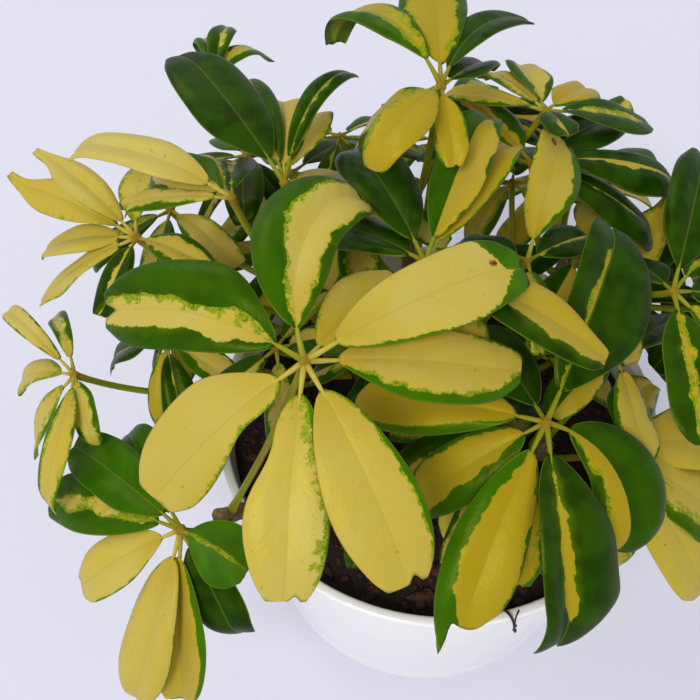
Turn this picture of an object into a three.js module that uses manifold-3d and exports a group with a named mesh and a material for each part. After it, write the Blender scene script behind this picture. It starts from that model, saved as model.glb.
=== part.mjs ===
// Potted variegated umbrella plant (dwarf schefflera) in a round glazed pot.
//
// Millimetres, +Z up. The origin is the middle of the pot's flat underside, and -Y is the front of the plant.
// The pot holds a plug of soil, six woody stems stand in plain holes in the soil, and each stem carries long
// stalks. Every stalk ends in a small hub from which the leaflets spread like the ribs of an umbrella.

import * as THREE from "three";
import { mergeVertices } from "three/addons/utils/BufferGeometryUtils.js";
import Module from "manifold-3d";

const wasm = await Module();
wasm.setup();

// Driving dimensions of the pot
const potHeight = 130;
const rimRadius = 90;
const rimWall = 4;
const footRadius = 62;
const bellyRadius = 73;
const bellyHeight = 16;
const floorThickness = 7;
const potSides = 36;

// Driving dimensions of the soil and of the fit between pieces
const soilHeight = 117;
const seatGap = 0.3;
const finestDetail = 0.04;
const stemDepthInSoil = 26;

// Driving dimensions of the stems and stalks
const stemFootRadius = 4.4;
const stemTipRadius = 3.1;
const stemSides = 8;
const stemRings = 8;
const stalkFootRadius = 1.9;
const stalkRadius = 1.25;
const stalkSides = 4;
const stalkRings = 4;
const hubRadius = 3;
const stalkletRoot = 1.8;

// Driving dimensions of a leaflet, as shares of its length where no unit is given
const ribThickness = 1.5;
const stalkletHalfWidth = 0.9;
const bladeStart = 0.14;
const widestPoint = 0.62;
const cupSlope = 0.12;
const notchDepth = 0.05;
const pathSteps = 16;

// Room that is kept between the leaflets of different umbrellas, and between stalks
const leafRoom = 4.6;
const stalkRoom = 4.8;
const stemRoom = 7.5;
const potRoom = 4;

const degree = Math.PI / 180;

// Colours
const glazeWhite = { color: 0xf4f4f6, roughness: 0.15, metalness: 0 };
const darkSoil = { color: 0x3a241a, roughness: 0.95, metalness: 0 };
const brownBark = { color: 0x6f5a3c, roughness: 0.8, metalness: 0 };
const leafYellow = { color: 0xc9bf58, roughness: 0.4, metalness: 0 };
const leafGreen = { color: 0x3c7a26, roughness: 0.4, metalness: 0 };

// Stems: where each one leaves the soil, the point that it bends towards, and its tip
const stems = {
  left_front: [[-26, -20, soilHeight], [-58, -40, 132], [-82, -56, 149]],
  left_back: [[-22, 18, soilHeight], [-40, 24, 148], [-62, 26, 188]],
  middle: [[4, -2, soilHeight], [0, 6, 150], [-8, 20, 196]],
  right_front: [[26, -20, soilHeight], [34, -28, 142], [34, -36, 166]],
  right_back: [[30, 20, soilHeight], [44, 34, 148], [52, 46, 176]],
  back: [[-4, 40, soilHeight], [-10, 62, 146], [-14, 78, 172]],
};

// Umbrellas with every leaflet set by hand: the stem, how far up it the stalk starts, the hub, the lean of the
// umbrella's axis, and the leaflets. A leaflet is its compass direction and rise from hub to tip in degrees, its
// length and width in mm, and how far it rolls, arches and bends sideways in degrees.
const shapedUmbrellas = [
  { stem: "left_front", from: 0.97, hub: [-49, -47, 235], lean: [0, -0.3], leaflets: [
    [28, 2, 77, 26, 0, 30, 0],
    [7, -16, 71, 24, 0, 25, 0],
    [-62, -26, 72, 28, 0, 25, -8],
    [-95, -29, 70, 26, 0, 20, 6],
    [-150, -34, 65, 27, 0, 28, 6],
    [158, -9, 72, 31, -14, 36, 24],
    [76, 5, 73, 30, 0, 44, -68],
    [54, -12, 50, 21, 0, 30, 0],
  ] },
  { stem: "right_front", from: 0.9, hub: [28, -47, 200], lean: [0.05, -0.3], leaflets: [
    [66, 13, 79, 32, 0, 30, 10],
    [-50, -38, 62, 28, 0, 34, -104],
    [-82, -33, 72, 31, 0, 38, 8],
    [-116, -27, 75, 26, 0, 30, 8],
    [-160, -32, 54, 22, 0, 30, 0],
    [164, -13, 68, 24, 0, 30, 0],
    [112, -14, 50, 20, 0, 30, 0],
  ] },
  { stem: "middle", from: 0.9, hub: [-11, -3, 228], lean: [0, -0.05], leaflets: [
    [112, -4, 66, 25, 0, 34, 0],
    [80, 7, 65, 22, 0, 36, 0],
    [60, 3, 64, 20, 0, 30, 0],
    [-30, -14, 66, 26, -20, 36, 0],
    [134, -23, 50, 20, 0, 30, 0],
    [-82, -24, 44, 18, 0, 30, 0],
  ] },
  { stem: "left_back", from: 0.99, hub: [-58, 29, 232], lean: [0, 0.1], leaflets: [
    [123, 5, 74, 28, 0, 26, 0],
    [93, -10, 56, 20, 0, 36, 0],
    [78, -11, 50, 19, 0, 36, 0],
    [66, 2, 60, 10, 0, 85, -20],
    [105, -3, 62, 13, 0, 30, 0],
    [40, -22, 46, 17, 0, 30, 0],
  ] },
  { stem: "left_back", from: 0.95, hub: [-75, 19, 235], lean: [-0.1, -0.1], leaflets: [
    [117, -26, 52, 11, 0, 30, 0],
    [141, -16, 40, 20, 0, 36, 0],
    [157, 0, 64, 17, 0, 44, 10],
    [96, -22, 46, 17, 0, 30, 0],
    [173, -13, 42, 10, 0, 30, 0],
    [20, -18, 46, 18, 0, 30, 0],
  ] },
  { stem: "back", from: 0.97, hub: [-6, 43, 262], lean: [0, 0.1], leaflets: [
    [126, -16, 66, 17, 0, 95, 18],
    [90, -3, 64, 25, 0, 34, 0],
    [54, -8, 57, 14, 0, 50, -34],
    [60, -25, 44, 16, 0, 30, 10],
    [-122, 2, 44, 17, 0, 50, 0],
    [-80, -30, 27, 12, 0, 40, 0],
    [168, -46, 40, 15, 0, 40, 0],
  ] },
  { stem: "left_back", from: 0.8, hub: [-113, 28, 205], lean: [-0.15, 0], leaflets: [
    [133, -3, 63, 15, 0, 34, 0],
    [148, -6, 64, 16, 0, 30, 0],
    [163, -28, 53, 15, 0, 34, 0],
    [-176, -39, 54, 14, 0, 34, 0],
    [84, -2, 42, 15, 0, 70, -30],
    [-30, 2, 34, 14, 0, 40, 0],
    [-110, -18, 32, 13, 0, 40, 0],
  ] },
  { stem: "left_front", from: 0.95, hub: [-93, -69, 166], lean: [-0.25, -0.25], leaflets: [
    [157, -19, 61, 22, 0, 30, 0],
    [139, -10, 60, 22, 0, 26, 0],
    [120, -12, 55, 19, 0, 30, 0],
    [-168, -38, 52, 20, 0, 34, 0],
    [-113, -44, 68, 24, 0, 24, -8],
    [-92, -49, 66, 22, 5, 24, 6],
    [-40, 25, 36, 25, 0, 26, 0],
    [-57, -44, 46, 19, 0, 30, 0],
  ] },
  { stem: "left_back", from: 0.5, hub: [-137, -10, 172], lean: [-0.3, 0], leaflets: [
    [117, -13, 52, 9, 0, 90, 20],
    [133, -12, 54, 9, 0, 80, -12],
    [160, -39, 40, 14, 0, 60, 0],
    [-150, -56, 44, 13, 0, 50, 0],
    [-100, -24, 52, 13, 0, 80, -30],
    [-70, -20, 32, 10, 0, 60, 0],
  ] },
  { stem: "right_back", from: 0.9, hub: [32, 55, 215], lean: [0.1, 0.1], leaflets: [
    [-13, -28, 61, 24, 0, 36, -10],
    [7, -15, 64, 23, 0, 36, -14],
    [53, -14, 59, 22, 0, 34, 0],
    [106, -14, 56, 22, 0, 30, 0],
    [150, -16, 48, 19, 0, 30, 0],
  ] },
  { stem: "right_back", from: 0.98, hub: [77, 3, 205], lean: [0.2, -0.1], leaflets: [
    [71, 6, 66, 24, 0, 30, 0],
    [48, -9, 61, 23, 0, 30, 0],
    [-87, -12, 56, 22, 0, 30, 0],
    [19, -33, 59, 22, 0, 30, 0],
    [-40, -30, 56, 21, 0, 30, 0],
    [104, -20, 44, 18, 0, 30, 0],
  ] },
  { stem: "right_front", from: 0.75, hub: [57, -40, 170], lean: [0.25, -0.2], leaflets: [
    [18, -26, 66, 28, 0, 30, 0],
    [-17, -35, 66, 28, 0, 34, 0],
    [-47, -36, 66, 27, 0, 34, 0],
    [-86, -42, 46, 18, 0, 30, 0],
    [60, -20, 48, 19, 0, 30, 0],
  ] },
  { stem: "middle", from: 0.75, hub: [26, 11, 212], lean: [0, 0], leaflets: [
    [72, 4, 56, 20, 0, 40, 0],
    [40, -34, 44, 18, 0, 30, 0],
    [-84, -4, 36, 15, 0, 30, 0],
    [130, -30, 40, 16, 0, 30, 0],
  ] },
  { stem: "back", from: 0.9, hub: [38, 76, 222], lean: [0.1, 0.2], leaflets: [
    [115, -30, 48, 18, 0, 30, 0],
    [96, -17, 48, 18, 0, 30, 0],
    [53, -23, 46, 18, 0, 30, 0],
    [10, -24, 48, 19, 0, 30, 0],
    [-80, -6, 36, 15, 0, 30, 0],
    [160, -24, 46, 18, 0, 30, 0],
  ] },
  { stem: "back", from: 0.8, hub: [-89, 102, 215], lean: [0, 0.1], leaflets: [
    [108, -14, 33, 12, 0, 110, 20],
    [54, -20, 33, 12, 0, 110, -20],
    [85, 0, 32, 11, 0, 90, 0],
    [-60, -30, 30, 12, 0, 40, 0],
  ] },
  { stem: "left_back", from: 0.35, hub: [-106, 9, 168], lean: [-0.1, 0], leaflets: [
    [-146, -44, 42, 14, 0, 30, 0],
    [-112, -36, 40, 14, 0, 30, 0],
    [-76, -32, 44, 16, 0, 30, 0],
    [-30, -16, 36, 14, 0, 30, 0],
    [160, -44, 42, 16, 0, 30, 0],
  ] },
  { stem: "right_front", from: 0.62, hub: [20, -38, 181], lean: [0, -0.1], leaflets: [
    [-168, -30, 48, 19, 0, 30, 0],
    [-121, -37, 60, 15, 40, 30, 0],
    [-88, -24, 54, 21, 0, 30, 0],
    [4, -36, 52, 20, 0, 30, 0],
    [70, -34, 46, 19, 0, 30, 0],
  ] },
];

// Umbrellas spread by rule: the stem, how far up it the stalk starts, the hub, the number of leaflets and their
// length in mm
const spreadUmbrellas = [
  ["right_back", 0.75, [51, 32, 192], 6, 52],
  ["right_front", 0.85, [60, -10, 184], 6, 50],
  ["middle", 0.9, [-36, 44, 200], 6, 48],
  ["right_back", 0.97, [92, 66, 188], 6, 60],
  ["right_back", 0.99, [64, 100, 180], 6, 50],
  ["back", 0.99, [6, 104, 196], 6, 48],
  ["back", 0.95, [-40, 112, 176], 6, 48],
  ["back", 0.85, [-80, 100, 176], 6, 46],
  ["left_back", 0.9, [-110, 72, 172], 6, 46],
  ["right_back", 0.85, [112, 28, 166], 6, 56],
  ["right_back", 0.6, [34, 92, 168], 6, 46],
  ["right_back", 0.5, [78, 50, 152], 6, 50],
  ["left_back", 0.6, [-58, 62, 160], 6, 48],
  ["left_back", 0.45, [-94, 44, 156], 6, 46],
  ["middle", 0.5, [-28, -10, 184], 5, 42],
  ["middle", 0.4, [34, 4, 166], 5, 42],
  ["left_back", 0.7, [-62, -8, 186], 5, 40],
  ["left_front", 0.5, [-34, -54, 150], 4, 26],
  ["back", 0.5, [-62, 116, 150], 6, 50],
  ["back", 0.7, [4, 128, 160], 6, 52],
  ["right_back", 0.4, [66, 112, 150], 6, 50],
  ["right_back", 0.3, [104, 74, 146], 6, 48],
  ["right_front", 0.45, [10, -26, 156], 6, 42],
  ["right_front", 0.35, [48, -52, 150], 5, 34],
];

// Ways to bend a leaflet clear: change of rise and of direction in degrees, and its length as a share
const bends = [
  [0, 0, 1], [6, 0, 1], [-6, 0, 1], [0, 8, 1], [0, -8, 1],
  [13, 0, 0.95], [-13, 0, 0.95], [8, 12, 0.95], [-8, 12, 0.95], [8, -12, 0.95], [-8, -12, 0.95],
  [20, 0, 0.9], [-22, 0, 0.9], [0, 20, 0.9], [0, -20, 0.9],
  [16, 18, 0.82], [-16, 18, 0.82], [16, -18, 0.82], [-16, -18, 0.82],
  [-32, 0, 0.74], [28, 0, 0.74], [-30, 24, 0.7], [-30, -24, 0.7],
];

// Seeded random draws, the same on every run
let seedState = 20260731;
function draw(low, high) {
  seedState = (Math.imul(seedState, 1664525) + 1013904223) >>> 0;
  return low + (high - low) * seedState / 4294967296;
}

// Solids
function solidOf(geometry) {
  const bare = geometry.index ? geometry.clone() : geometry;
  bare.deleteAttribute("normal");
  bare.deleteAttribute("uv");
  const merged = mergeVertices(bare, 1e-5);
  return new wasm.Manifold(new wasm.Mesh({
    numProp: 3,
    vertProperties: new Float32Array(merged.attributes.position.array),
    triVerts: new Uint32Array(merged.index.array),
  }));
}

function meshOf(solid, name, finish) {
  const parts = solid.getMesh();
  const geometry = new THREE.BufferGeometry();
  geometry.setAttribute("position", new THREE.BufferAttribute(new Float32Array(parts.vertProperties), 3));
  geometry.setIndex(Array.from(parts.triVerts));
  geometry.computeVertexNormals();
  const mesh = new THREE.Mesh(geometry, new THREE.MeshStandardMaterial(finish));
  mesh.name = name;
  return mesh;
}

function closedGeometry(points, triangles) {
  const geometry = new THREE.BufferGeometry();
  const flat = points.flatMap((point) => [point.x, point.y, point.z]);
  geometry.setAttribute("position", new THREE.Float32BufferAttribute(flat, 3));
  geometry.setIndex(triangles.flat());
  return geometry;
}

// The largest body of a union: loose scraps are dropped, sealed hollows are filled, and slivers are smoothed out
function largestBody(solid) {
  const bodies = solid.asOriginal().simplify(finestDetail).decompose();
  return bodies.reduce((best, body) => (body.volume() > best.volume() ? body : best));
}

// A round rod along a curve, with a radius that changes from end to end
function rod(curve, radiusAt, sides, rings) {
  const points = [];
  const triangles = [];
  const across = new THREE.Vector3();
  const beside = new THREE.Vector3();
  const reference = new THREE.Vector3(0.31, 0.95, 0.05).normalize();
  for (let ring = 0; ring <= rings; ring += 1) {
    const share = ring / rings;
    const centre = curve.getPoint(share);
    const along = curve.getTangent(share);
    across.crossVectors(along, reference).normalize();
    beside.crossVectors(along, across);
    for (let side = 0; side < sides; side += 1) {
      const turn = 2 * Math.PI * side / sides;
      const point = centre.clone();
      point.addScaledVector(across, radiusAt(share) * Math.cos(turn));
      point.addScaledVector(beside, radiusAt(share) * Math.sin(turn));
      points.push(point);
    }
  }
  for (let ring = 0; ring < rings; ring += 1) {
    for (let side = 0; side < sides; side += 1) {
      const next = (side + 1) % sides;
      const low = ring * sides;
      const high = low + sides;
      triangles.push([low + side, low + next, high + next]);
      triangles.push([low + side, high + next, high + side]);
    }
  }
  const last = rings * sides;
  for (let side = 1; side < sides - 1; side += 1) {
    triangles.push([0, side + 1, side]);
    triangles.push([last, last + side, last + side + 1]);
  }
  return closedGeometry(points, triangles);
}

// Pot and soil
function turned(profile, sides) {
  const outline = profile.map(([radius, height]) => new THREE.Vector2(radius, height));
  const geometry = new THREE.LatheGeometry(outline, sides);
  geometry.rotateX(Math.PI / 2);
  return solidOf(geometry);
}

function wallRadius(height) {
  const share = (height - bellyHeight) / (potHeight - bellyHeight);
  return bellyRadius + (rimRadius - bellyRadius) * share;
}

function makePot() {
  const rimEdge = 1.2;
  const innerFoot = footRadius - 2;
  const profile = [
    [0, 0],
    [footRadius, 0],
    [footRadius + 6, 3],
    [bellyRadius - 1.5, 9],
    [bellyRadius, bellyHeight],
    [rimRadius, potHeight - rimEdge],
    [rimRadius - rimEdge, potHeight],
    [rimRadius - rimWall + rimEdge, potHeight],
    [rimRadius - rimWall, potHeight - rimEdge],
    [bellyRadius - rimWall, bellyHeight + 2],
    [innerFoot, floorThickness],
    [0, floorThickness],
  ];
  return turned(profile, potSides);
}

function makeSoil(stemHoles) {
  const top = wallRadius(soilHeight) - rimWall - seatGap;
  const profile = [
    [0, floorThickness + seatGap],
    [footRadius - 2.5, floorThickness + seatGap],
    [bellyRadius - rimWall - 0.5, bellyHeight + 2.6],
    [top - 0.3, soilHeight - 3],
    [top - 4, soilHeight],
    [top * 0.6, soilHeight + 1.5],
    [0, soilHeight],
  ];
  let soil = turned(profile, potSides);
  for (const hole of stemHoles) {
    soil = soil.subtract(hole);
  }
  return largestBody(soil);
}

// Stems
function stemCurve(points) {
  const [foot, bend, tip] = points.map((point) => new THREE.Vector3(...point));
  const root = new THREE.Vector3(foot.x, foot.y, foot.z - stemDepthInSoil);
  return new THREE.CubicBezierCurve3(root, foot, bend, tip);
}

function stemRadius(share) {
  return stemFootRadius + (stemTipRadius - stemFootRadius) * share;
}

function makeStem(curve) {
  return solidOf(rod(curve, stemRadius, stemSides, stemRings));
}

function makeStemHole(curve) {
  const bottom = curve.v0.clone();
  bottom.z -= seatGap;
  const longer = new THREE.CubicBezierCurve3(bottom, curve.v1, curve.v2, curve.v3);
  const wider = (share) => stemRadius(share) + seatGap + 0.1;
  return solidOf(rod(longer, wider, stemSides, stemRings));
}

// Stalks: each leaves its stem square to it, then rises to the hub
function stalkCurve(stem, from, hub, swing, lift) {
  const centre = stem.getPoint(from);
  const along = stem.getTangent(from);
  const outward = new THREE.Vector3().subVectors(hub, centre);
  outward.addScaledVector(along, -outward.dot(along)).normalize();
  outward.applyAxisAngle(along, swing * degree);
  const foot = centre.clone().addScaledVector(outward, stemRadius(from) + seatGap);
  const reach = foot.distanceTo(hub);
  const outReach = hub.clone().sub(foot).dot(outward);
  const start = outward.clone().multiplyScalar(0.3 * Math.max(0.2, outReach / reach));
  start.z += Math.max(0, lift);
  const tilt = start.angleTo(outward);
  foot.addScaledVector(outward, stalkFootRadius * Math.sin(tilt));
  const first = foot.clone().addScaledVector(start, reach);
  const second = hub.clone().lerp(foot, 0.25);
  second.z += lift * reach;
  return new THREE.CubicBezierCurve3(foot, first, second, hub);
}

function stalkThickness(share) {
  const flare = Math.max(0, 1 - share / 0.2);
  return stalkRadius + (stalkFootRadius - stalkRadius) * flare;
}

function pointsAlong(curve, spacing) {
  const count = Math.ceil(curve.getLength() / spacing);
  const points = [];
  for (let step = 0; step <= count; step += 1) {
    points.push(curve.getPoint(step / count));
  }
  return points;
}

// Whether every point is over the rim, outside the wall, or inside the pot and above the soil
function clearOfPot(points) {
  return points.every((point) => {
    const radius = Math.hypot(point.x, point.y);
    const overRim = point.z > potHeight + potRoom;
    const outside = point.z > potRoom && radius > wallRadius(point.z) + potRoom;
    const inside = radius < rimRadius - rimWall - potRoom && point.z > soilHeight + potRoom;
    return overRim || outside || inside;
  });
}

function apart(points, others, room) {
  const least = room * room;
  return points.every((point) => others.every((other) => point.distanceToSquared(other) > least));
}

// Leaflets: the middle rib is an arc that starts at the hub, and the blade faces the umbrella's axis
function leafletDirection(leaflet, share) {
  const [direction, rise, , , , arch, bend] = leaflet;
  const compass = (direction + bend * (share - 0.5)) * degree;
  const climb = (rise - arch * (share - 0.5)) * degree;
  return new THREE.Vector3(
    Math.cos(climb) * Math.cos(compass), Math.cos(climb) * Math.sin(compass), Math.sin(climb));
}

function leafletFrames(hub, lean, leaflet) {
  const [, , length, , roll, arch] = leaflet;
  const axis = new THREE.Vector3(lean[0], lean[1], 1).normalize();
  const halfArch = arch * degree / 2;
  const step = length / pathSteps * halfArch / Math.sin(halfArch);
  const place = hub.clone();
  const frames = [];
  for (let index = 0; index <= pathSteps; index += 1) {
    const along = leafletDirection(leaflet, index / pathSteps);
    const left = new THREE.Vector3().crossVectors(axis, along).normalize();
    const face = new THREE.Vector3().crossVectors(along, left);
    const side = left.multiplyScalar(Math.cos(roll * degree));
    side.addScaledVector(face, Math.sin(roll * degree));
    const normal = new THREE.Vector3().crossVectors(along, side);
    frames.push({ place: place.clone(), along, side, normal });
    place.addScaledVector(leafletDirection(leaflet, (index + 0.5) / pathSteps), step);
  }
  return frames;
}

function bladeHalfWidth(share, width) {
  const reach = (share - bladeStart) / (1 - bladeStart);
  if (reach <= 0) {
    return stalkletHalfWidth;
  }
  if (reach < widestPoint) {
    const growth = Math.sin(Math.PI / 2 * Math.pow(reach / widestPoint, 0.75));
    return stalkletHalfWidth + (width / 2 - stalkletHalfWidth) * growth;
  }
  const taper = (reach - widestPoint) / (1.07 - widestPoint);
  return width / 2 * Math.sqrt(1 - taper * taper);
}

function leafletSamples(frames, width) {
  const samples = [];
  for (let index = 3; index <= pathSteps; index += 1) {
    const frame = frames[index];
    const half = bladeHalfWidth(index / pathSteps, width);
    for (let lane = -3; lane <= 3; lane += 1) {
      const offset = half * lane / 3;
      const point = frame.place.clone().addScaledVector(frame.side, offset);
      samples.push(point.addScaledVector(frame.normal, cupSlope * Math.abs(offset)));
    }
  }
  return samples;
}

// A leaflet's solid: a slender spindle that opens into a keeled blade with two lobes at its notched tip
function leafletSolid(frames, width) {
  const stations = [0, 3, 8, 13];
  const points = [];
  const triangles = [];
  for (const index of stations) {
    const { along, side, normal } = frames[index];
    const place = frames[index].place.clone().addScaledVector(along, index === 0 ? stalkletRoot : 0);
    const half = bladeHalfWidth(index / pathSteps, width);
    const lift = index > 3 ? cupSlope * half : 0;
    const left = place.clone().addScaledVector(side, half).addScaledVector(normal, lift);
    const right = place.clone().addScaledVector(side, -half).addScaledVector(normal, lift);
    const top = place.clone().addScaledVector(normal, 0.4 * ribThickness);
    const keel = place.clone().addScaledVector(normal, -0.6 * ribThickness);
    points.push(left, top, right, keel);
  }
  for (let ring = 0; ring < stations.length - 1; ring += 1) {
    const low = ring * 4;
    const high = low + 4;
    const quads = [[0, 1], [1, 2], [2, 3], [3, 0]];
    quads.forEach(([near, far], quad) => {
      if (quad === 0 || quad === 2) {
        triangles.push([low + near, high + far, high + near], [low + near, low + far, high + far]);
      } else {
        triangles.push([low + near, low + far, high + near], [high + near, low + far, high + far]);
      }
    });
  }
  const tip = frames[pathSteps];
  const half = bladeHalfWidth(1, width);
  const lobe = (sideways) => tip.place.clone()
    .addScaledVector(tip.side, sideways * half)
    .addScaledVector(tip.normal, cupSlope * half);
  const length = frames[0].place.distanceTo(tip.place);
  const notch = tip.place.clone().addScaledVector(tip.along, -notchDepth * length);
  const base = (stations.length - 1) * 4;
  const leftLobe = points.push(lobe(1)) - 1;
  const rightLobe = points.push(lobe(-1)) - 1;
  const inner = points.push(notch) - 1;
  triangles.push([base, base + 1, leftLobe], [base + 1, inner, leftLobe]);
  triangles.push([base + 1, rightLobe, inner], [base + 1, base + 2, rightLobe]);
  triangles.push([base, leftLobe, base + 3], [base + 3, leftLobe, inner]);
  triangles.push([base + 3, inner, rightLobe], [base + 3, rightLobe, base + 2]);
  triangles.push([0, 2, 1], [0, 3, 2]);
  return solidOf(closedGeometry(points, triangles));
}

// The leaflets of an umbrella that is spread by rule, in the same terms as those set by hand
function spreadLeaflets(lean, count, length) {
  const axis = new THREE.Vector3(lean[0], lean[1], 1).normalize();
  const east = new THREE.Vector3(1, 0, 0).addScaledVector(axis, -axis.x).normalize();
  const north = new THREE.Vector3().crossVectors(axis, east);
  const start = draw(0, 360);
  const leaflets = [];
  for (let index = 0; index < count; index += 1) {
    const turn = (start + 360 * index / count + draw(-9, 9)) * degree;
    const droop = draw(-22, -4) * degree;
    const along = east.clone().multiplyScalar(Math.cos(turn) * Math.cos(droop));
    along.addScaledVector(north, Math.sin(turn) * Math.cos(droop));
    along.addScaledVector(axis, Math.sin(droop));
    const size = length * draw(0.82, 1.08);
    leaflets.push([
      Math.atan2(along.y, along.x) / degree, Math.asin(along.z) / degree,
      size, size * draw(0.34, 0.4), draw(-8, 8), draw(22, 42), draw(-12, 12),
    ]);
  }
  return leaflets;
}

function allUmbrellas() {
  const umbrellas = shapedUmbrellas.map((umbrella) => ({ ...umbrella }));
  for (const [stem, from, hub, count, length] of spreadUmbrellas) {
    const outward = Math.hypot(hub[0], hub[1]) + 40;
    const lean = [0.34 * hub[0] / outward, 0.34 * hub[1] / outward];
    umbrellas.push({ stem, from, hub, lean, leaflets: spreadLeaflets(lean, count, length) });
  }
  return umbrellas;
}

// The ways a stalk may take, the plainest first: swung round its stem, higher up it, or in a higher arch
function stalkOptions(umbrella, stem, hub) {
  const options = [];
  for (const lift of [-0.2, 0.1, 0.35]) {
    for (const climb of [0, 0.08, 0.16, 0.24]) {
      for (const swing of [0, 20, -20, 40, -40, 60, -60, 80, -80]) {
        options.push(stalkCurve(stem, Math.min(0.99, umbrella.from + climb), hub, swing, lift));
      }
    }
  }
  return options;
}

// Stalks come first, each in the first way that is clear of the pot, the stems and the stalks before it
function placeStalks(umbrellas, curves) {
  const placed = [];
  for (const umbrella of umbrellas) {
    const hub = new THREE.Vector3(...umbrella.hub);
    const options = stalkOptions(umbrella, curves[umbrella.stem], hub);
    const clear = options.find((curve) => {
      const points = pointsAlong(curve, 3);
      const outer = points.filter((point) => point.distanceTo(points[0]) > 9);
      const offStems = Object.entries(curves).every(([name, other]) => (
        apart(name === umbrella.stem ? outer : points, pointsAlong(other, 3), stemRoom)));
      return offStems && clearOfPot(points)
        && placed.every((other) => apart(points, other.points, stalkRoom));
    });
    const curve = clear ?? options[0];
    placed.push({ umbrella, hub, curve, points: pointsAlong(curve, 3) });
  }
  return placed;
}

// Then the leaflets, each bent until it is clear of the stems, stalks and leaflets placed before it
function placeLeaflets(stalks, curves) {
  const woody = Object.values(curves).map((curve) => ({ owner: null, points: pointsAlong(curve, 3) }));
  const stalkBarriers = stalks.map((stalk) => ({ owner: stalk.umbrella, points: stalk.points }));
  const barriers = [...woody, ...stalkBarriers];
  for (const barrier of barriers) {
    barrier.sphere = new THREE.Sphere().setFromPoints(barrier.points);
  }
  for (const stalk of stalks) {
    const { umbrella, hub } = stalk;
    stalk.blades = [];
    for (const leaflet of umbrella.leaflets) {
      let fitted = null;
      for (const [rise, turn, share] of bends) {
        const tried = [...leaflet];
        tried[0] += turn;
        tried[1] += rise;
        tried[2] *= share;
        tried[3] *= Math.sqrt(share);
        const frames = leafletFrames(hub, umbrella.lean, tried);
        const points = leafletSamples(frames, tried[3]);
        const sphere = new THREE.Sphere().setFromPoints(points);
        const near = barriers.filter((barrier) => barrier.owner !== umbrella
          && barrier.sphere.center.distanceTo(sphere.center) < barrier.sphere.radius + sphere.radius + leafRoom);
        if (clearOfPot(points) && near.every((barrier) => apart(points, barrier.points, leafRoom))) {
          fitted = { frames, width: tried[3], points, sphere, owner: umbrella };
          break;
        }
      }
      if (fitted) {
        stalk.blades.push(fitted);
        barriers.push(fitted);
      }
    }
  }
}

function makeUmbrella(stalk) {
  const rodSolid = solidOf(rod(stalk.curve, stalkThickness, stalkSides, stalkRings));
  const bead = new THREE.IcosahedronGeometry(hubRadius, 0).translate(stalk.hub.x, stalk.hub.y, stalk.hub.z);
  let whole = rodSolid.add(solidOf(bead));
  for (const blade of stalk.blades) {
    whole = whole.add(leafletSolid(blade.frames, blade.width));
  }
  return largestBody(whole);
}

function makePlant() {
  const plant = new THREE.Group();
  const curves = Object.fromEntries(
    Object.entries(stems).map(([name, points]) => [name, stemCurve(points)]));
  const holes = Object.values(curves).map(makeStemHole);
  plant.add(meshOf(makePot(), "pot", glazeWhite));
  plant.add(meshOf(makeSoil(holes), "soil", darkSoil));
  for (const [name, curve] of Object.entries(curves)) {
    plant.add(meshOf(makeStem(curve), `stem_${name}`, brownBark));
  }
  const stalks = placeStalks(allUmbrellas(), curves);
  placeLeaflets(stalks, curves);
  stalks.forEach((stalk, index) => {
    const finish = index % 3 === 1 ? leafGreen : leafYellow;
    const number = String(index + 1).padStart(2, "0");
    plant.add(meshOf(makeUmbrella(stalk), `umbrella_leaf_${number}`, finish));
  });
  return plant;
}

export default makePlant();
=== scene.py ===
"""Potted variegated umbrella plant: fine leaves, stems, soil, glazed pot and a plain studio.

The stems, stalks and leaflets are laid out by the same rule and from the same dimensions as the solids of the
frame, in millimetres, and each fine piece stands for the solid that it replaces.
"""

import math
from collections import namedtuple
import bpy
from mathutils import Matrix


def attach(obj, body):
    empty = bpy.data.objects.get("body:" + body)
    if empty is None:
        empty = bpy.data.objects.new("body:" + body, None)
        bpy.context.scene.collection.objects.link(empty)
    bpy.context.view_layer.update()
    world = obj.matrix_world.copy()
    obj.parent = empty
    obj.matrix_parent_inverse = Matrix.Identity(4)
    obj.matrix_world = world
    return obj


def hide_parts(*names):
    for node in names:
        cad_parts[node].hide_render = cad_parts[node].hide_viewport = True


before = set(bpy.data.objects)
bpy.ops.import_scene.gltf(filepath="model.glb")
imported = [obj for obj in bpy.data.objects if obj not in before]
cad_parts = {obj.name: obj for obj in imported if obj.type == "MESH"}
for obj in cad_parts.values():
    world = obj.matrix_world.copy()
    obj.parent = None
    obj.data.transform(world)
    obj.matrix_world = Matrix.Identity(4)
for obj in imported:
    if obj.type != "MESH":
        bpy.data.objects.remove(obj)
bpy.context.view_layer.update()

from types import SimpleNamespace

import bpy
import numpy as np
from mathutils import Vector, noise

scene = bpy.context.scene

MM = 0.001
DEGREE = math.pi / 180

# A full turn in radians, rounded, for the phases of the waves that are drawn at random
ROUND = 6.28

# Driving dimensions of the pot and soil, in millimetres
POT_HEIGHT = 130
RIM_RADIUS = 90
RIM_WALL = 4
FOOT_RADIUS = 62
BELLY_RADIUS = 73
BELLY_HEIGHT = 16
FLOOR_THICKNESS = 7
SOIL_HEIGHT = 117
SEAT_GAP = 0.3
STEM_DEPTH_IN_SOIL = 26
POT_SIDES = 160
CRUMB_COUNT = 1500

# Driving dimensions of the stems, stalks and leaflets
STEM_FOOT_RADIUS = 4.4
STEM_TIP_RADIUS = 3.1
STALK_FOOT_RADIUS = 1.9
STALK_RADIUS = 1.25
HUB_RADIUS = 3
STALKLET_HALF_WIDTH = 0.9
BLADE_START = 0.14
WIDEST_POINT = 0.62
CUP_SLOPE = 0.12
PATH_STEPS = 16
SPREAD_LEAN = 0.34
SCAR_SPACING = 6.5

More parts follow.
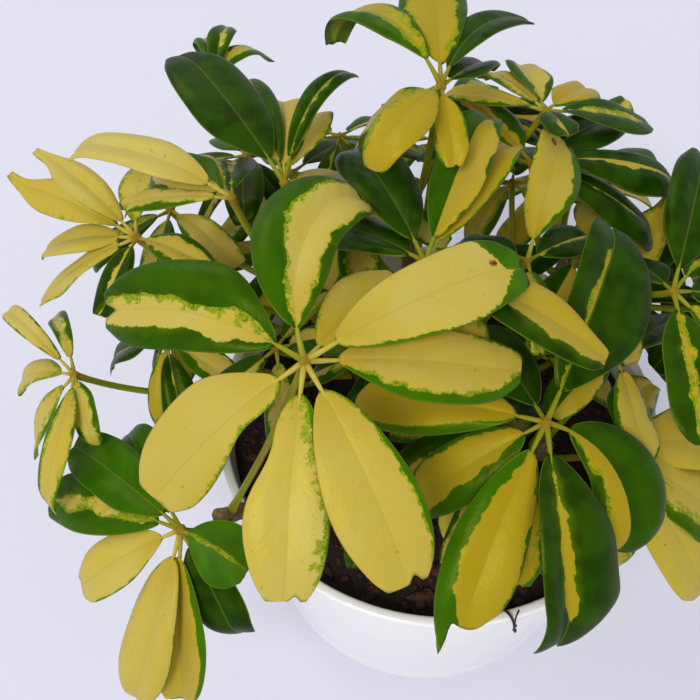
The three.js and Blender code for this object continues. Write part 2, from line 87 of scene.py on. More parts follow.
# Room that is kept between the pieces of different umbrellas, the spacing of the points that it is measured
# from, and how far from its foot a stalk starts to keep clear of its own stem
LEAF_ROOM = 4.6
STALK_ROOM = 4.8
STEM_ROOM = 7.5
POT_ROOM = 4
POINT_SPACING = 3
OWN_STEM_REACH = 9

# Stems: where each one leaves the soil, seen from above, the point that it bends towards, and its tip
STEMS = {
    "left_front": [(-26, -20), (-58, -40, 132), (-82, -56, 149)],
    "left_back": [(-22, 18), (-40, 24, 148), (-62, 26, 188)],
    "middle": [(4, -2), (0, 6, 150), (-8, 20, 196)],
    "right_front": [(26, -20), (34, -28, 142), (34, -36, 166)],
    "right_back": [(30, 20), (44, 34, 148), (52, 46, 176)],
    "back": [(-4, 40), (-10, 62, 146), (-14, 78, 172)],
}

# Umbrellas given one by one: stem, how far up it the stalk starts, hub, lean of the axis, and the leaflets. A
# leaflet is its compass direction and rise in degrees, its length and width, and the green share of its left
# and right halves, from 0 or less for none to 1 or more for all. Left is left for someone who looks from the
# hub to the tip. How far it arches, bends and rolls follows in degrees where that differs from USUAL_FORM.
USUAL_FORM = (30, 0, 0)
SHAPED_UMBRELLAS = [
    ("left_front", 0.97, (-49, -47, 235), (0, -0.3),
     (28, 2, 77, 26, -0.3, 0.1),
     (7, -16, 71, 24, 0.02, 0.3, 25),
     (-62, -26, 72, 28, 0.18, -0.4, 25, -8),
     (-95, -29, 70, 26, 0.12, -0.4, 20, 6),
     (-150, -34, 65, 27, 0.06, -0.4, 28, 6),
     (158, -9, 72, 31, 0.6, 0.7, 36, 24, -14),
     (76, 5, 73, 30, 0.66, 0.3, 44, -68),
     (54, -12, 50, 21, 0, 0)),
    ("right_front", 0.9, (28, -47, 200), (0.05, -0.3),
     (66, 13, 79, 32, 0.84, 1.1, 30, 10),
     (-50, -38, 62, 28, 1.1, 0.3, 34, -104),
     (-82, -33, 72, 31, 0.92, 0.97, 38, 8),
     (-116, -27, 75, 26, 0.08, 0.46, 30, 8),
     (-160, -32, 54, 22, 0.55, 0.2),
     (164, -13, 68, 24, 0.3, -0.3),
     (112, -14, 50, 20, 1.1, 1.1)),
    ("middle", 0.9, (-11, -3, 228), (0, -0.05),
     (112, -4, 66, 25, 1.1, 1.1, 34),
     (80, 7, 65, 22, 1.1, 0.02, 36),
     (60, 3, 64, 20, -0.3, 0.1),
     (-30, -14, 66, 26, -0.3, 0.55, 36, 0, -20),
     (134, -23, 50, 20, 1.1, 1.1),
     (-82, -24, 44, 18, 0.2, 0.3)),
    ("left_back", 0.99, (-58, 29, 232), (0, 0.1),
     (123, 5, 74, 28, 1.1, 1.1, 26),
     (93, -10, 56, 20, 0.06, 0.12, 36),
     (78, -11, 50, 19, 0.06, 0.1, 36),
     (66, 2, 60, 10, 1.1, 0.8, 85, -20),
     (105, -3, 62, 13, 0.5, 0.9),
     (40, -22, 46, 17, 0.2, 0.1)),
    ("left_back", 0.95, (-75, 19, 235), (-0.1, -0.1),
     (117, -26, 52, 11, 0.7, 0.2),
     (141, -16, 40, 20, 0.3, 0.7, 36),
     (157, 0, 64, 17, -0.3, 0, 44, 10),
     (96, -22, 46, 17, 0.9, 0.9),
     (173, -13, 42, 10, 0.3, 0.1),
     (20, -18, 46, 18, 1.1, 1.1)),
    ("back", 0.97, (-6, 43, 262), (0, 0.1),
     (126, -16, 66, 17, 0.5, 0.35, 95, 18),
     (90, -3, 64, 25, 0.3, 0.45, 34),
     (54, -8, 57, 14, 1.1, 1.1, 50, -34),
     (60, -25, 44, 16, 1.1, 0.9, 30, 10),
     (-122, 2, 44, 17, -0.3, 0.03, 50),
     (-80, -30, 27, 12, 0.15, 0.1, 40),
     (168, -46, 40, 15, 0.3, 0.1, 40)),
    ("left_back", 0.8, (-113, 28, 205), (-0.15, 0),
     (133, -3, 63, 15, -0.01, -0.3, 34),
     (148, -6, 64, 16, -0.3, -0.3),
     (163, -28, 53, 15, -0.3, -0.3, 34),
     (-176, -39, 54, 14, 0.02, -0.3, 34),
     (84, -2, 42, 15, 0.1, 0.05, 70, -30),
     (-30, 2, 34, 14, 0.5, 0.3, 40),
     (-110, -18, 32, 13, 1.1, 0.8, 40)),
    ("left_front", 0.95, (-93, -69, 166), (-0.25, -0.25),
     (157, -19, 61, 22, 0.7, 0.75),
     (139, -10, 60, 22, 1.1, 1.1, 26),
     (120, -12, 55, 19, 1.1, 1.1),
     (-168, -38, 52, 20, 0.06, -0.3, 34),
     (-113, -44, 68, 24, 0.02, 0.03, 24, -8),
     (-92, -49, 66, 22, 0.3, -0.3, 24, 6, 5),
     (-40, 25, 36, 25, 0.96, 0.98, 26),
     (-57, -44, 46, 19, 1.1, 1.1)),
    ("left_back", 0.5, (-137, -10, 172), (-0.3, 0),
     (117, -13, 52, 9, 0.3, 0.5, 90, 20),
     (133, -12, 54, 9, 0.1, 0.05, 80, -12),
     (160, -39, 40, 14, 0, 0, 60),
     (-150, -56, 44, 13, 0.2, -0.02, 50),
     (-100, -24, 52, 13, 0.1, 0.3, 80, -30),
     (-70, -20, 32, 10, 0.5, 0.3, 60)),
    ("right_back", 0.9, (32, 55, 215), (0.1, 0.1),
     (-13, -28, 61, 24, 1.1, 0.95, 36, -10),
     (7, -15, 64, 23, 1.1, 0.85, 36, -14),
     (53, -14, 59, 22, 1.1, 1.1, 34),
     (106, -14, 56, 22, 0.4, 0.8),
     (150, -16, 48, 19, 1.1, 0.8)),
    ("right_back", 0.98, (77, 3, 205), (0.2, -0.1),
     (71, 6, 66, 24, 1.1, 1.1),
     (48, -9, 61, 23, 0.9, 0.95),
     (-87, -12, 56, 22, 0.85, 0.75),
     (19, -33, 59, 22, 1.1, 0.9),
     (-40, -30, 56, 21, 0.3, 0.4),
     (104, -20, 44, 18, 1.1, 1.1)),
    ("right_front", 0.75, (57, -40, 170), (0.25, -0.2),
     (18, -26, 66, 28, 0.06, -0.02),
     (-17, -35, 66, 28, 0.02, 0.4, 34),
     (-47, -36, 66, 27, 0.04, 0, 34),
     (-86, -42, 46, 18, 0.3, 0.2),
     (60, -20, 48, 19, 0.5, 0.3)),
    ("middle", 0.75, (26, 11, 212), (0, 0),
     (72, 4, 56, 20, 0.05, 0.35, 40),
     (40, -34, 44, 18, 1.1, 0.9),
     (-84, -4, 36, 15, 0.8, 0.2),
     (130, -30, 40, 16, 1.1, 1.1)),
    ("back", 0.9, (38, 76, 222), (0.1, 0.2),
     (115, -30, 48, 18, 0.2, 0.1),
     (96, -17, 48, 18, 0.7, 0.4),
     (53, -23, 46, 18, 0.1, 0.2),
     (10, -24, 48, 19, 0.8, 0.9),
     (-80, -6, 36, 15, 1.1, 0.9),
     (160, -24, 46, 18, 0.2, 0.3)),
    ("back", 0.8, (-89, 102, 215), (0, 0.1),
     (108, -14, 33, 12, 0.7, 0.3, 110, 20),
     (54, -20, 33, 12, 0.5, 0.6, 110, -20),
     (85, 0, 32, 11, 0.9, 0.7, 90),
     (-60, -30, 30, 12, 0.2, 0.3, 40)),
    ("left_back", 0.35, (-106, 9, 168), (-0.1, 0),
     (-146, -44, 42, 14, 0.8, 0.9),
     (-112, -36, 40, 14, 0.1, 0.2),
     (-76, -32, 44, 16, 1.1, 1.1),
     (-30, -16, 36, 14, 0.2, 0.5),
     (160, -44, 42, 16, 0.9, 1.1)),
    ("right_front", 0.62, (20, -38, 181), (0, -0.1),
     (-168, -30, 48, 19, 0.5, 0.8),
     (-121, -37, 60, 15, 0.6, 0.4, 30, 0, 40),
     (-88, -24, 54, 21, 0.3, 0.2),
     (4, -36, 52, 20, 0.5, 0.5),
     (70, -34, 46, 19, 1.1, 1.1)),
]

# Umbrellas spread by rule: stem, how far up it the stalk starts, hub, number of leaflets and their length
SPREAD_UMBRELLAS = [
    ("right_back", 0.75, (51, 32, 192), 6, 52),
    ("right_front", 0.85, (60, -10, 184), 6, 50),
    ("middle", 0.9, (-36, 44, 200), 6, 48),
    ("right_back", 0.97, (92, 66, 188), 6, 60),
    ("right_back", 0.99, (64, 100, 180), 6, 50),
    ("back", 0.99, (6, 104, 196), 6, 48),
    ("back", 0.95, (-40, 112, 176), 6, 48),
    ("back", 0.85, (-80, 100, 176), 6, 46),
    ("left_back", 0.9, (-110, 72, 172), 6, 46),
    ("right_back", 0.85, (112, 28, 166), 6, 56),
    ("right_back", 0.6, (34, 92, 168), 6, 46),
    ("right_back", 0.5, (78, 50, 152), 6, 50),
    ("left_back", 0.6, (-58, 62, 160), 6, 48),
    ("left_back", 0.45, (-94, 44, 156), 6, 46),
    ("middle", 0.5, (-28, -10, 184), 5, 42),
    ("middle", 0.4, (34, 4, 166), 5, 42),
    ("left_back", 0.7, (-62, -8, 186), 5, 40),
    ("left_front", 0.5, (-34, -54, 150), 4, 26),
    ("back", 0.5, (-62, 116, 150), 6, 50),
    ("back", 0.7, (4, 128, 160), 6, 52),
    ("right_back", 0.4, (66, 112, 150), 6, 50),
    ("right_back", 0.3, (104, 74, 146), 6, 48),
    ("right_front", 0.45, (10, -26, 156), 6, 42),
    ("right_front", 0.35, (48, -52, 150), 5, 34),
]

# Details of single leaflets, by umbrella and leaflet number. drawn_details draws those not named here.
# crease is how steeply both halves rise from the rib, fold raises the left half and lowers the right one,
# edge rolls the edges down, wave ripples them, and twist turns the tip against the base. skew widens the left
# half and narrows the right one, full and blunt add width near the base and near the tip, left and right.
# notch and point shape the tip, each with its place between -1 and 1 across the blade, cut shortens the tip,
# and tail is how far a point may run past it. hook lifts the tip and sweep moves it to the left, in mm, and
# curl moves only the point. tip and base widen the green margins at the tip and at the left of the base, and
# tip_lean does so at the tip's left. lime is how far the margins fade into the yellow, on both sides or as a
# pair for left and right, and fingers is how far green streaks follow the veins. cream is as in CREAM, shade
# is how dark the green is, and stain puts a brown spot near the tip.
DETAILS = {
    (1, 1): dict(crease=0.16, fold=0.0, edge=0.16, twist=0.1, tip=2.1, tip_lean=0.8, fingers=8, notch=0.03,
        notch_at=0.1, point=0.02, point_at=0.8, hook=-2, stain=True),
    (1, 2): dict(crease=0.12, fold=-0.1, edge=0.2, tip=0.3, notch=0, point=0.01, point_at=-0.5, lime=0.3,
        fingers=1.6),
    (1, 3): dict(crease=0.1, fold=0, edge=0.12, twist=-0.1, tip=-0.3, notch=0.06, notch_at=0.4, point=0.03,
        point_at=0.85, skew=-0.06, hook=-1, wave=0.5),
    (1, 4): dict(crease=0.14, fold=0, edge=0.14, tip=-0.4, base=0.24, lime=1, notch=0.045, notch_at=0.45,
        point=0.035, point_at=0.9, skew=-0.06, full=(0, -0.4), hook=-1, wave=0.5, fingers=1),
    (1, 5): dict(crease=0.12, fold=0, edge=0.16, tip=-0.1, notch=0.03, notch_at=0.3, point=0.03,
        point_at=0.85, skew=-0.24, full=(-0.3, 0.12), blunt=(0, 0.2), wave=0.4),
    (1, 6): dict(crease=0.45, fold=0, edge=0.36, tip=-0.14, notch=0.09, notch_at=0, point=0, skew=-0.12,
        full=(0, 0.26), lime=(0, 0.9), hook=-2, wave=0.6, fingers=0.2),
    (1, 7): dict(crease=0.4, fold=0.1, edge=0.42, tip=-0.2, notch=0, point=0.05, point_at=-0.3, skew=0.3,
        hook=-5, sweep=-3, lime=(0.4, 0.1), wave=0.6, fingers=0.2),
    (1, 8): dict(cream=-0.3),
    (2, 1): dict(crease=0.4, fold=0.7, edge=0.3, tip=1.3, notch=0, point=0, skew=-0.24, hook=-4),
    (2, 2): dict(crease=0.3, fold=0, edge=0.44, tip=0.5, notch=0, point=0.02, point_at=-0.5, skew=0.2,
        hook=-4, sweep=-3),
    (2, 3): dict(crease=0.5, fold=-0.7, edge=0.4, tip=0.3, notch=0.04, notch_at=-0.5, point=0.04,
        point_at=-1, curl=-4, skew=0.28, full=(0, 0), blunt=(0.5, -0.1), hook=-3, sweep=-3, wave=0.4,
        tail=0.06),
    (2, 4): dict(crease=0.26, fold=-0.2, edge=0.3, tip=0.2, tip_lean=-0.4, cut=0.08, notch=0, point=0.22,
        point_at=-1, hook=-2, tail=0.09, lime=0),
    (2, 5): dict(crease=0.2, edge=0.3, tip=0.1, hook=-3),
    (2, 6): dict(lime=0, fingers=0.3, tip=0),
    (3, 1): dict(crease=0.3, edge=0.3, notch=0, hook=-4),
    (3, 2): dict(lime=(0.8, 0), crease=0.6, fold=0.2, edge=0.34, tip=1.2, notch=0, hook=-4, sweep=-2),
    (3, 3): dict(lime=0, cream=-0.7, crease=0.34, fold=-0.2, edge=0.3, notch=0, hook=-4),
    (3, 4): dict(crease=0.3, fold=0.3, edge=0.3, tip=0.1, notch=0, point=0.06, point_at=-0.3, skew=0,
        blunt=(-0.35, -0.1), lime=0, fingers=0.3, cream=-0.6, shade=1),
    (4, 1): dict(crease=0.18, fold=0.1, edge=0.26, notch=0, point=0.01, point_at=0, hook=-2, twist=0.1),
    (6, 2): dict(lime=0.4, fingers=4, tip=0.4, crease=0.3),
    (7, 1): dict(blunt=(-0.5, -0.5), point=0.03, point_at=0, notch=0, hook=3, sweep=2, tip=0),
    (7, 2): dict(blunt=(-0.5, -0.5), point=0.03, point_at=0, notch=0, hook=3, sweep=-2, tip=0),
    (7, 3): dict(blunt=(-0.2, -0.2), point=0.03, point_at=-0.4, notch=0.04, wave=1.4, tip=0),
    (7, 4): dict(blunt=(-0.3, -0.3), point=0.03, point_at=0.3, notch=0, wave=1.0, tip=0),
    # On umbrella 8 the low shade of leaflets 1 to 3 and of leaflet 7 makes their green lighter: a painted
    # sheen
    (8, 1): dict(shade=0.55),
    (8, 2): dict(shade=0.3),
    (8, 3): dict(shade=0.35),
    (8, 4): dict(lime=0, fingers=0.2, tip=-0.2, notch=0.06, notch_at=-0.3),
    (8, 5): dict(lime=0, fingers=0.2, tip=0),
    (8, 6): dict(lime=0, fingers=0.2, tip=0, cream=-0.5, crease=0.4),
    (8, 7): dict(shade=-0.2, crease=-0.6, fold=0, edge=-0.3, notch=0, point=0.06, point_at=0, hook=0,
        sweep=0, wave=0.2),
    (10, 1): dict(crease=0.12, fold=0, edge=0.5, notch=0, hook=-4),
    (10, 2): dict(crease=0.12, fold=0, edge=0.5, notch=0, hook=-4),
    (12, 1): dict(crease=0.12, edge=0.2, notch=0.03, notch_at=0.1, hook=-3),
    (12, 2): dict(crease=0.12, edge=0.24, notch=0.03, notch_at=0.1, lime=0.8, hook=-3),
    (12, 3): dict(crease=0.1, edge=0.2, notch=0, hook=-3),
    (13, 1): dict(crease=0.4, fold=0.3, edge=0.3, twist=1.1, skew=-0.15, wave=1.2, tip=0.2, hook=-2,
        notch=0.1, notch_at=-0.5, point=0.06, point_at=0.9, stain=True),
}

# How creamy the yellow of an umbrella is: 1 is cream and -1 a deep yellow. The others are drawn.
CREAM = {1: 0.2, 2: -0.85, 3: -0.4, 4: -0.1, 5: 0.3, 6: -0.8, 7: 0.1, 8: 0.15, 9: 0.2, 12: -0.15, 13: -0.2}

# Bark fibres that hang over the rim: radius and the points of the curve
FIBRES = [
    (0.6, [(18, -80, 118), (20.5, -84, 139), (22.5, -89.5, 133), (24.6, -88, 121)]),
    (0.4, [(27, -78, 118), (25.5, -85, 137), (22, -89, 133), (24.2, -88.1, 126)]),
]

# The drawn stalk of umbrella 1 bows less than its curve: the shift of its middle, in mm
STALK_SHIFTS = {1: (-3.6, -1.4, 0)}

# Ways to bend a leaflet clear: change of rise and of direction in degrees, and its length as a share
BENDS = [
    (0, 0, 1), (6, 0, 1), (-6, 0, 1), (0, 8, 1), (0, -8, 1),
    (13, 0, 0.95), (-13, 0, 0.95), (8, 12, 0.95), (-8, 12, 0.95), (8, -12, 0.95), (-8, -12, 0.95),
    (20, 0, 0.9), (-22, 0, 0.9), (0, 20, 0.9), (0, -20, 0.9),
    (16, 18, 0.82), (-16, 18, 0.82), (16, -18, 0.82), (-16, -18, 0.82),
    (-32, 0, 0.74), (28, 0, 0.74), (-30, 24, 0.7), (-30, -24, 0.7),
]

# A fine leaflet: lanes run along the blade and rows across it, and both faces share the blade's edge.
# The umbrellas that are listed one by one get the close lanes and rows, and the others the wide ones.
CLOSE_GRID = ((0, 0.04, 0.11, 0.2, 0.31, 0.42, 0.53, 0.64, 0.74, 0.83, 0.91, 0.97, 1), 37)
WIDE_GRID = ((0, 0.05, 0.16, 0.34, 0.54, 0.74, 0.9, 1), 27)
BLADE_THICKNESS = 0.6
BLADE_STEPS = 128
VEIN_SLANT = 0.75

# How far a leaflet's seed, from 0 to 1, shifts its veins along the blade and its patches across their pattern
VEIN_SHIFT = 60
PATTERN_SHIFT = 83

# The blade's last row is a shallow arc: how long the full rows are, and the arc's depth, spread and mean
FULL_ROWS = 0.965
ARC_DEPTH = 0.387
ARC_SPREAD = 0.536
ARC_MEAN = 0.844

# Four vectors hold the values that the materials read. Some columns are also set or read by themselves.
ATTRIBUTES = ("blade", "tone", "face", "rim")
HUB_COLUMN = 3
YELLOW_COLUMN = 4
UNDER_COLUMN = 6
CREAM_COLUMN = 10

# The photo's camera, fitted to the pot: it looks along +Y and down
CAMERA_PLACE = (-0.0356, -0.2137, 0.4790)
CAMERA_PITCH = 55 * DEGREE
FOCAL_PIXELS = 1000
IMAGE_PIXELS = 700
FLOOR_REACH = 3000

# Strength of the light from all around, what the camera sees on top of it behind the floor, and the place in
# metres that the lamps point at
WORLD_STRENGTH = 0.62
BACKDROP_GAIN = 0.2
LIGHT_TARGET = (0, 0, 0.15)


class Draws:
    """Seeded random draws, the same on every run."""

    def __init__(self, seed):
        self.state = seed

    def __call__(self, low, high):
        self.state = (self.state * 1664525 + 1013904223) & 0xFFFFFFFF
        return low + (high - low) * self.state / 4294967296


Leaflet = namedtuple("Leaflet", "direction rise length width roll arch bend left right details")

layout_draw = Draws(20260731)
draw = Draws(4711)


# Curves

def unit(vector):
    return vector / np.linalg.norm(vector)


class Curve:
    """A cubic Bezier curve through its first and last points."""

    def __init__(self, *points):
        self.points = [np.array(point, float) for point in points]

    def point(self, share):
        a, b, c, d = self.points
        rest = 1 - share
        return rest ** 3 * a + 3 * rest ** 2 * share * b + 3 * rest * share ** 2 * c + share ** 3 * d

    def tangent(self, share):
        step = 0.0001
        return unit(self.point(min(1, share + step)) - self.point(max(0, share - step)))

    def length(self):
        points = np.array([self.point(index / 200) for index in range(201)])
        return np.linalg.norm(np.diff(points, axis=0), axis=1).sum()

    def spaced(self, spacing):
        count = math.ceil(self.length() / spacing)
        return np.array([self.point(index / count) for index in range(count + 1)])


def stem_curve(foot, bend, tip):
    return Curve((*foot, SOIL_HEIGHT - STEM_DEPTH_IN_SOIL), (*foot, SOIL_HEIGHT), bend, tip)


def stem_radius(share):
    return STEM_FOOT_RADIUS + (STEM_TIP_RADIUS - STEM_FOOT_RADIUS) * share


def turned_about(vector, axis, angle):
    """The vector turned about a unit axis."""
    return (vector * math.cos(angle) + np.cross(axis, vector) * math.sin(angle)
            + axis * axis.dot(vector) * (1 - math.cos(angle)))


def stalk_curve(stem, share, hub, swing, lift):
    centre = stem.point(share)
    along = stem.tangent(share)
    outward = hub - centre
    outward = unit(outward - along * outward.dot(along))
    outward = turned_about(outward, along, swing * DEGREE)
    foot = centre + outward * (stem_radius(share) + SEAT_GAP)
    reach = np.linalg.norm(foot - hub)
    start = outward * 0.3 * max(0.2, (hub - foot).dot(outward) / reach)
    start[2] += max(0, lift)
    tilt = math.acos(min(1, unit(start).dot(outward)))
    foot = foot + outward * STALK_FOOT_RADIUS * math.sin(tilt)
    second = hub + (foot - hub) * 0.25
    second[2] += lift * reach
    return Curve(foot, foot + start * reach, second, hub)


# Clearance

def wall_radius(height):
    share = (height - BELLY_HEIGHT) / (POT_HEIGHT - BELLY_HEIGHT)
    return BELLY_RADIUS + (RIM_RADIUS - BELLY_RADIUS) * share


def clear_of_pot(points):
    radius = np.hypot(points[:, 0], points[:, 1])
    height = points[:, 2]
    over_rim = height > POT_HEIGHT + POT_ROOM
    outside = (height > POT_ROOM) & (radius > wall_radius(height) + POT_ROOM)
    inside = (radius < RIM_RADIUS - RIM_WALL - POT_ROOM) & (height > SOIL_HEIGHT + POT_ROOM)
    return bool(np.all(over_rim | outside | inside))


def apart(points, others, room):
    gap = np.maximum(others.min(0) - points.max(0), points.min(0) - others.max(0)).max()
    return gap > room or ((points[:, None] - others[None]) ** 2).sum(2).min() > room * room


# Leaflets

def leaflet_direction(leaflet, share):
    """Unit vectors along the middle rib, for one share of its length or an array of them."""
    compass = (leaflet.direction + leaflet.bend * (share - 0.5)) * DEGREE
    climb = (leaflet.rise - leaflet.arch * (share - 0.5)) * DEGREE
    return np.stack([np.cos(climb) * np.cos(compass), np.cos(climb) * np.sin(compass), np.sin(climb)], -1)


def leaflet_frames(umbrella, leaflet, shares, steps=PATH_STEPS):
    """Places on the middle rib, and the directions along it, to its left and out of the blade's face."""
    axis = unit(np.array([*umbrella.lean, 1.0]))
    half_arch = leaflet.arch * DEGREE / 2
    step = leaflet.length / steps * half_arch / math.sin(half_arch)
    middles = (np.arange(steps) + 0.5) / steps
    strides = leaflet_direction(leaflet, middles) * step
    path = np.vstack([umbrella.hub, umbrella.hub + np.cumsum(strides, axis=0)])
    knots = np.arange(steps + 1) / steps
    place = np.stack([np.interp(shares, knots, path[:, k]) for k in range(3)], -1)
    along = leaflet_direction(leaflet, shares)
    place = place + along * np.maximum(0, shares - 1)[:, None] * leaflet.length
    left = np.cross(axis, along)
    left /= np.linalg.norm(left, axis=-1, keepdims=True)
    face = np.cross(along, left)
    roll = leaflet.roll * DEGREE
    side = left * math.cos(roll) + face * math.sin(roll)
    return place, side, np.cross(along, side)


def blade_half_width(share, width):
    reach = np.clip((share - BLADE_START) / (1 - BLADE_START), 0, 1)
    growth = np.sin(np.pi / 2 * np.minimum(1, reach / WIDEST_POINT) ** 0.75)
    taper = np.clip((reach - WIDEST_POINT) / (1.07 - WIDEST_POINT), 0, 1)
    near = STALKLET_HALF_WIDTH + (width / 2 - STALKLET_HALF_WIDTH) * growth
    return np.where(reach < WIDEST_POINT, near, width / 2 * np.sqrt(1 - taper ** 2))


def leaflet_samples(umbrella, leaflet):
    shares = np.arange(3, PATH_STEPS + 1) / PATH_STEPS
    place, side, normal = leaflet_frames(umbrella, leaflet, shares)
    half = blade_half_width(shares, leaflet.width)
    samples = []
    for lane in range(-3, 4):
        offset = (half * lane / 3)[:, None]
        samples.append(place + side * offset + normal * CUP_SLOPE * np.abs(offset))
    return np.vstack(samples)


def spread_leaflets(lean, count, length):
    """The leaflets of an umbrella that is spread by rule, up to how far they bend."""
    axis = unit(np.array([*lean, 1.0]))
    east = unit(np.array([1.0, 0, 0]) - axis * axis[0])
    north = np.cross(axis, east)
    start = layout_draw(0, 360)
    leaflets = []
    for index in range(count):
        turn = (start + 360 * index / count + layout_draw(-9, 9)) * DEGREE
        droop = layout_draw(-22, -4) * DEGREE
        along = east * math.cos(turn) * math.cos(droop) + north * math.sin(turn) * math.cos(droop)
        along = along + axis * math.sin(droop)
        size = length * layout_draw(0.82, 1.08)
        leaflets.append((
            math.atan2(along[1], along[0]) / DEGREE, math.asin(along[2]) / DEGREE,
            size, size * layout_draw(0.34, 0.4),
            layout_draw(-8, 8), layout_draw(22, 42), layout_draw(-12, 12),
        ))
    return leaflets


def green_shares(mood):
    """Green shares of a leaflet's halves. mood is 0 on a mostly yellow umbrella, 1 on a mostly green one."""
    shares = []
    for _ in range(2):
        plain = draw(0, 1) < mood * 0.75
        shares.append(1.1 if plain else draw(0.03, 0.25 + 0.75 * mood))
    return tuple(shares)


def all_umbrellas():
    umbrellas = []
    for number, (stem, share, hub, lean, *rows) in enumerate(SHAPED_UMBRELLAS, 1):
        tint = {"cream": CREAM[number]} if number in CREAM else {}
        leaflets = []
        for index, row in enumerate(rows, 1):
            details = {**tint, **DETAILS.get((number, index), {})}
            arch, bend, roll = (*row[6:], *USUAL_FORM[len(row) - 6:])
            leaflets.append(Leaflet(*row[:4], roll, arch, bend, *row[4:6], details))
        umbrellas.append((stem, share, hub, lean, leaflets))
    for stem, share, hub, count, length in SPREAD_UMBRELLAS:
        outward = math.hypot(hub[0], hub[1]) + 40
        lean = (SPREAD_LEAN * hub[0] / outward, SPREAD_LEAN * hub[1] / outward)
        mood = draw(0.15, 0.95)
        leaflets = [Leaflet(*row, *green_shares(mood), {}) for row in spread_leaflets(lean, count, length)]
        umbrellas.append((stem, share, hub, lean, leaflets))
    return [SimpleNamespace(stem=stem, share=share, hub=np.array(hub, float), lean=lean, leaflets=leaflets)
            for stem, share, hub, lean, leaflets in umbrellas]


def stalk_options(umbrella, stem):
    for lift in (-0.2, 0.1, 0.35):
        for climb in (0, 0.08, 0.16, 0.24):
            for swing in (0, 20, -20, 40, -40, 60, -60, 80, -80):
                yield stalk_curve(stem, min(0.99, umbrella.share + climb), umbrella.hub, swing, lift)


def stalk_is_clear(curve, umbrella, stem_points, placed):
    points = curve.spaced(POINT_SPACING)
    outer = points[np.linalg.norm(points - points[0], axis=1) > OWN_STEM_REACH]
    for name, others in stem_points.items():
        if not apart(outer if name == umbrella.stem else points, others, STEM_ROOM):
            return False
    return clear_of_pot(points) and all(apart(points, other.points, STALK_ROOM) for other in placed)


def place_stalks(umbrellas, stems):
    stem_points = {name: stem.spaced(POINT_SPACING) for name, stem in stems.items()}
    placed = []
    for umbrella in umbrellas:
        stem = stems[umbrella.stem]
        clear = (curve for curve in stalk_options(umbrella, stem)
                 if stalk_is_clear(curve, umbrella, stem_points, placed))
        umbrella.curve = next(clear, None) or next(stalk_options(umbrella, stem))
        umbrella.points = umbrella.curve.spaced(POINT_SPACING)
        placed.append(umbrella)
    return list(stem_points.values())


def place_leaflets(umbrellas, woody):
    barriers = [(None, points) for points in woody]
    barriers += [(umbrella, umbrella.points) for umbrella in umbrellas]
    for umbrella in umbrellas:
        umbrella.blades = []
        for leaflet in umbrella.leaflets:
            for rise, turn, share in BENDS:
                tried = leaflet._replace(
                    direction=leaflet.direction + turn, rise=leaflet.rise + rise,
                    length=leaflet.length * share, width=leaflet.width * math.sqrt(share))
                points = leaflet_samples(umbrella, tried)
                if clear_of_pot(points) and all(apart(points, others, LEAF_ROOM)
                                                for owner, others in barriers if owner is not umbrella):
                    umbrella.blades.append(tried)
                    barriers.append((umbrella, points))
                    break


# Mesh building

class Soup:
    """Vertices, faces, material numbers and attribute values of a mesh in the making."""

    def __init__(self):
        self.points, self.faces, self.slots, self.values = [], [], [], []
        self.count = 0

    def add(self, points, faces, slot=0, values=None):
        self.points.append(points)
        self.faces += [tuple(index + self.count for index in face) for face in faces]
        self.slots += [slot] * len(faces)
        self.values.append(blank_values(points) if values is None else values)
        self.count += len(points)

    def piece(self, name, materials, attributes=()):
        mesh = bpy.data.meshes.new(name)
        mesh.from_pydata((np.vstack(self.points) * MM).tolist(), [], self.faces)
        for material in materials:
            mesh.materials.append(material)
        mesh.polygons.foreach_set("material_index", self.slots)
        mesh.polygons.foreach_set("use_smooth", [True] * len(self.faces))
        values = np.vstack(self.values).astype(np.float32)
        for index, label in enumerate(attributes):
            layer = mesh.attributes.new(label, "FLOAT_VECTOR", "POINT")
            layer.data.foreach_set("vector", values[:, 3 * index:3 * index + 3].ravel())
        mesh.validate()
        mesh.update()
        piece = bpy.data.objects.new(name, mesh)
        scene.collection.objects.link(piece)
        return piece


def blank_values(points):
    return np.zeros((len(points), 3 * len(ATTRIBUTES)))


def turns(sides):
    return [2 * math.pi * side / sides for side in range(sides)]


def circle(radius, height, sides):
    return [(radius * math.cos(turn), radius * math.sin(turn), height) for turn in turns(sides)]


def skin(first, rings, last, downward=False):
    """A closed skin from a first point over rings of points to a last one, listed upward or downward."""
    sides = len(rings[0])
    end = 1 + len(rings) * sides
    faces = []
    for side in range(sides):
        after = (side + 1) % sides
        faces.append((0, 1 + after, 1 + side))
        for low in range(1, end - sides, sides):
            faces.append((low + side, low + after, low + sides + after, low + sides + side))
        faces.append((end - sides + side, end - sides + after, end))
    if downward:
        faces = [(face[0], *face[:0:-1]) for face in faces]
    return np.vstack([first, *rings, last]), faces


def tube(curve, radius_at, sides, rings, bump=lambda share, turn: 0):
    """A closed round tube along a curve. bump(share, turn) changes the radius a little."""
    loops = []
    across = np.array([0.31, 0.95, 0.05])
    for ring in range(rings + 1):
        share = ring / rings
        along = curve.tangent(share)
        across = unit(across - along * across.dot(along))
        beside = np.cross(along, across)
        loop = []
        for turn in turns(sides):
            radius = radius_at(share) * (1 + bump(share, turn))
            loop.append(curve.point(share) + radius * (across * math.cos(turn) + beside * math.sin(turn)))
        loops.append(loop)
    return skin(curve.point(0), loops, curve.point(1) + curve.tangent(1) * radius_at(1) * 0.4)


def ball(centre, radii, rows=8, sides=12, rough=0.0):
    """A round bead with an uneven surface."""
    rings = []
    for row in range(1, rows):
        polar = math.pi * row / rows
        ring = []
        for turn in turns(sides):
            out = math.sin(polar)
            spot = np.array([out * math.cos(turn), out * math.sin(turn), math.cos(polar)])
            swell = 1 + rough * noise.noise(Vector(spot * 2.3 + centre))
            ring.append(centre + spot * radii * swell)
        rings.append(ring)
    pole = np.array([0, 0, radii[2]])
    return skin(centre + pole, rings, centre - pole, downward=True)


# Fine leaflets

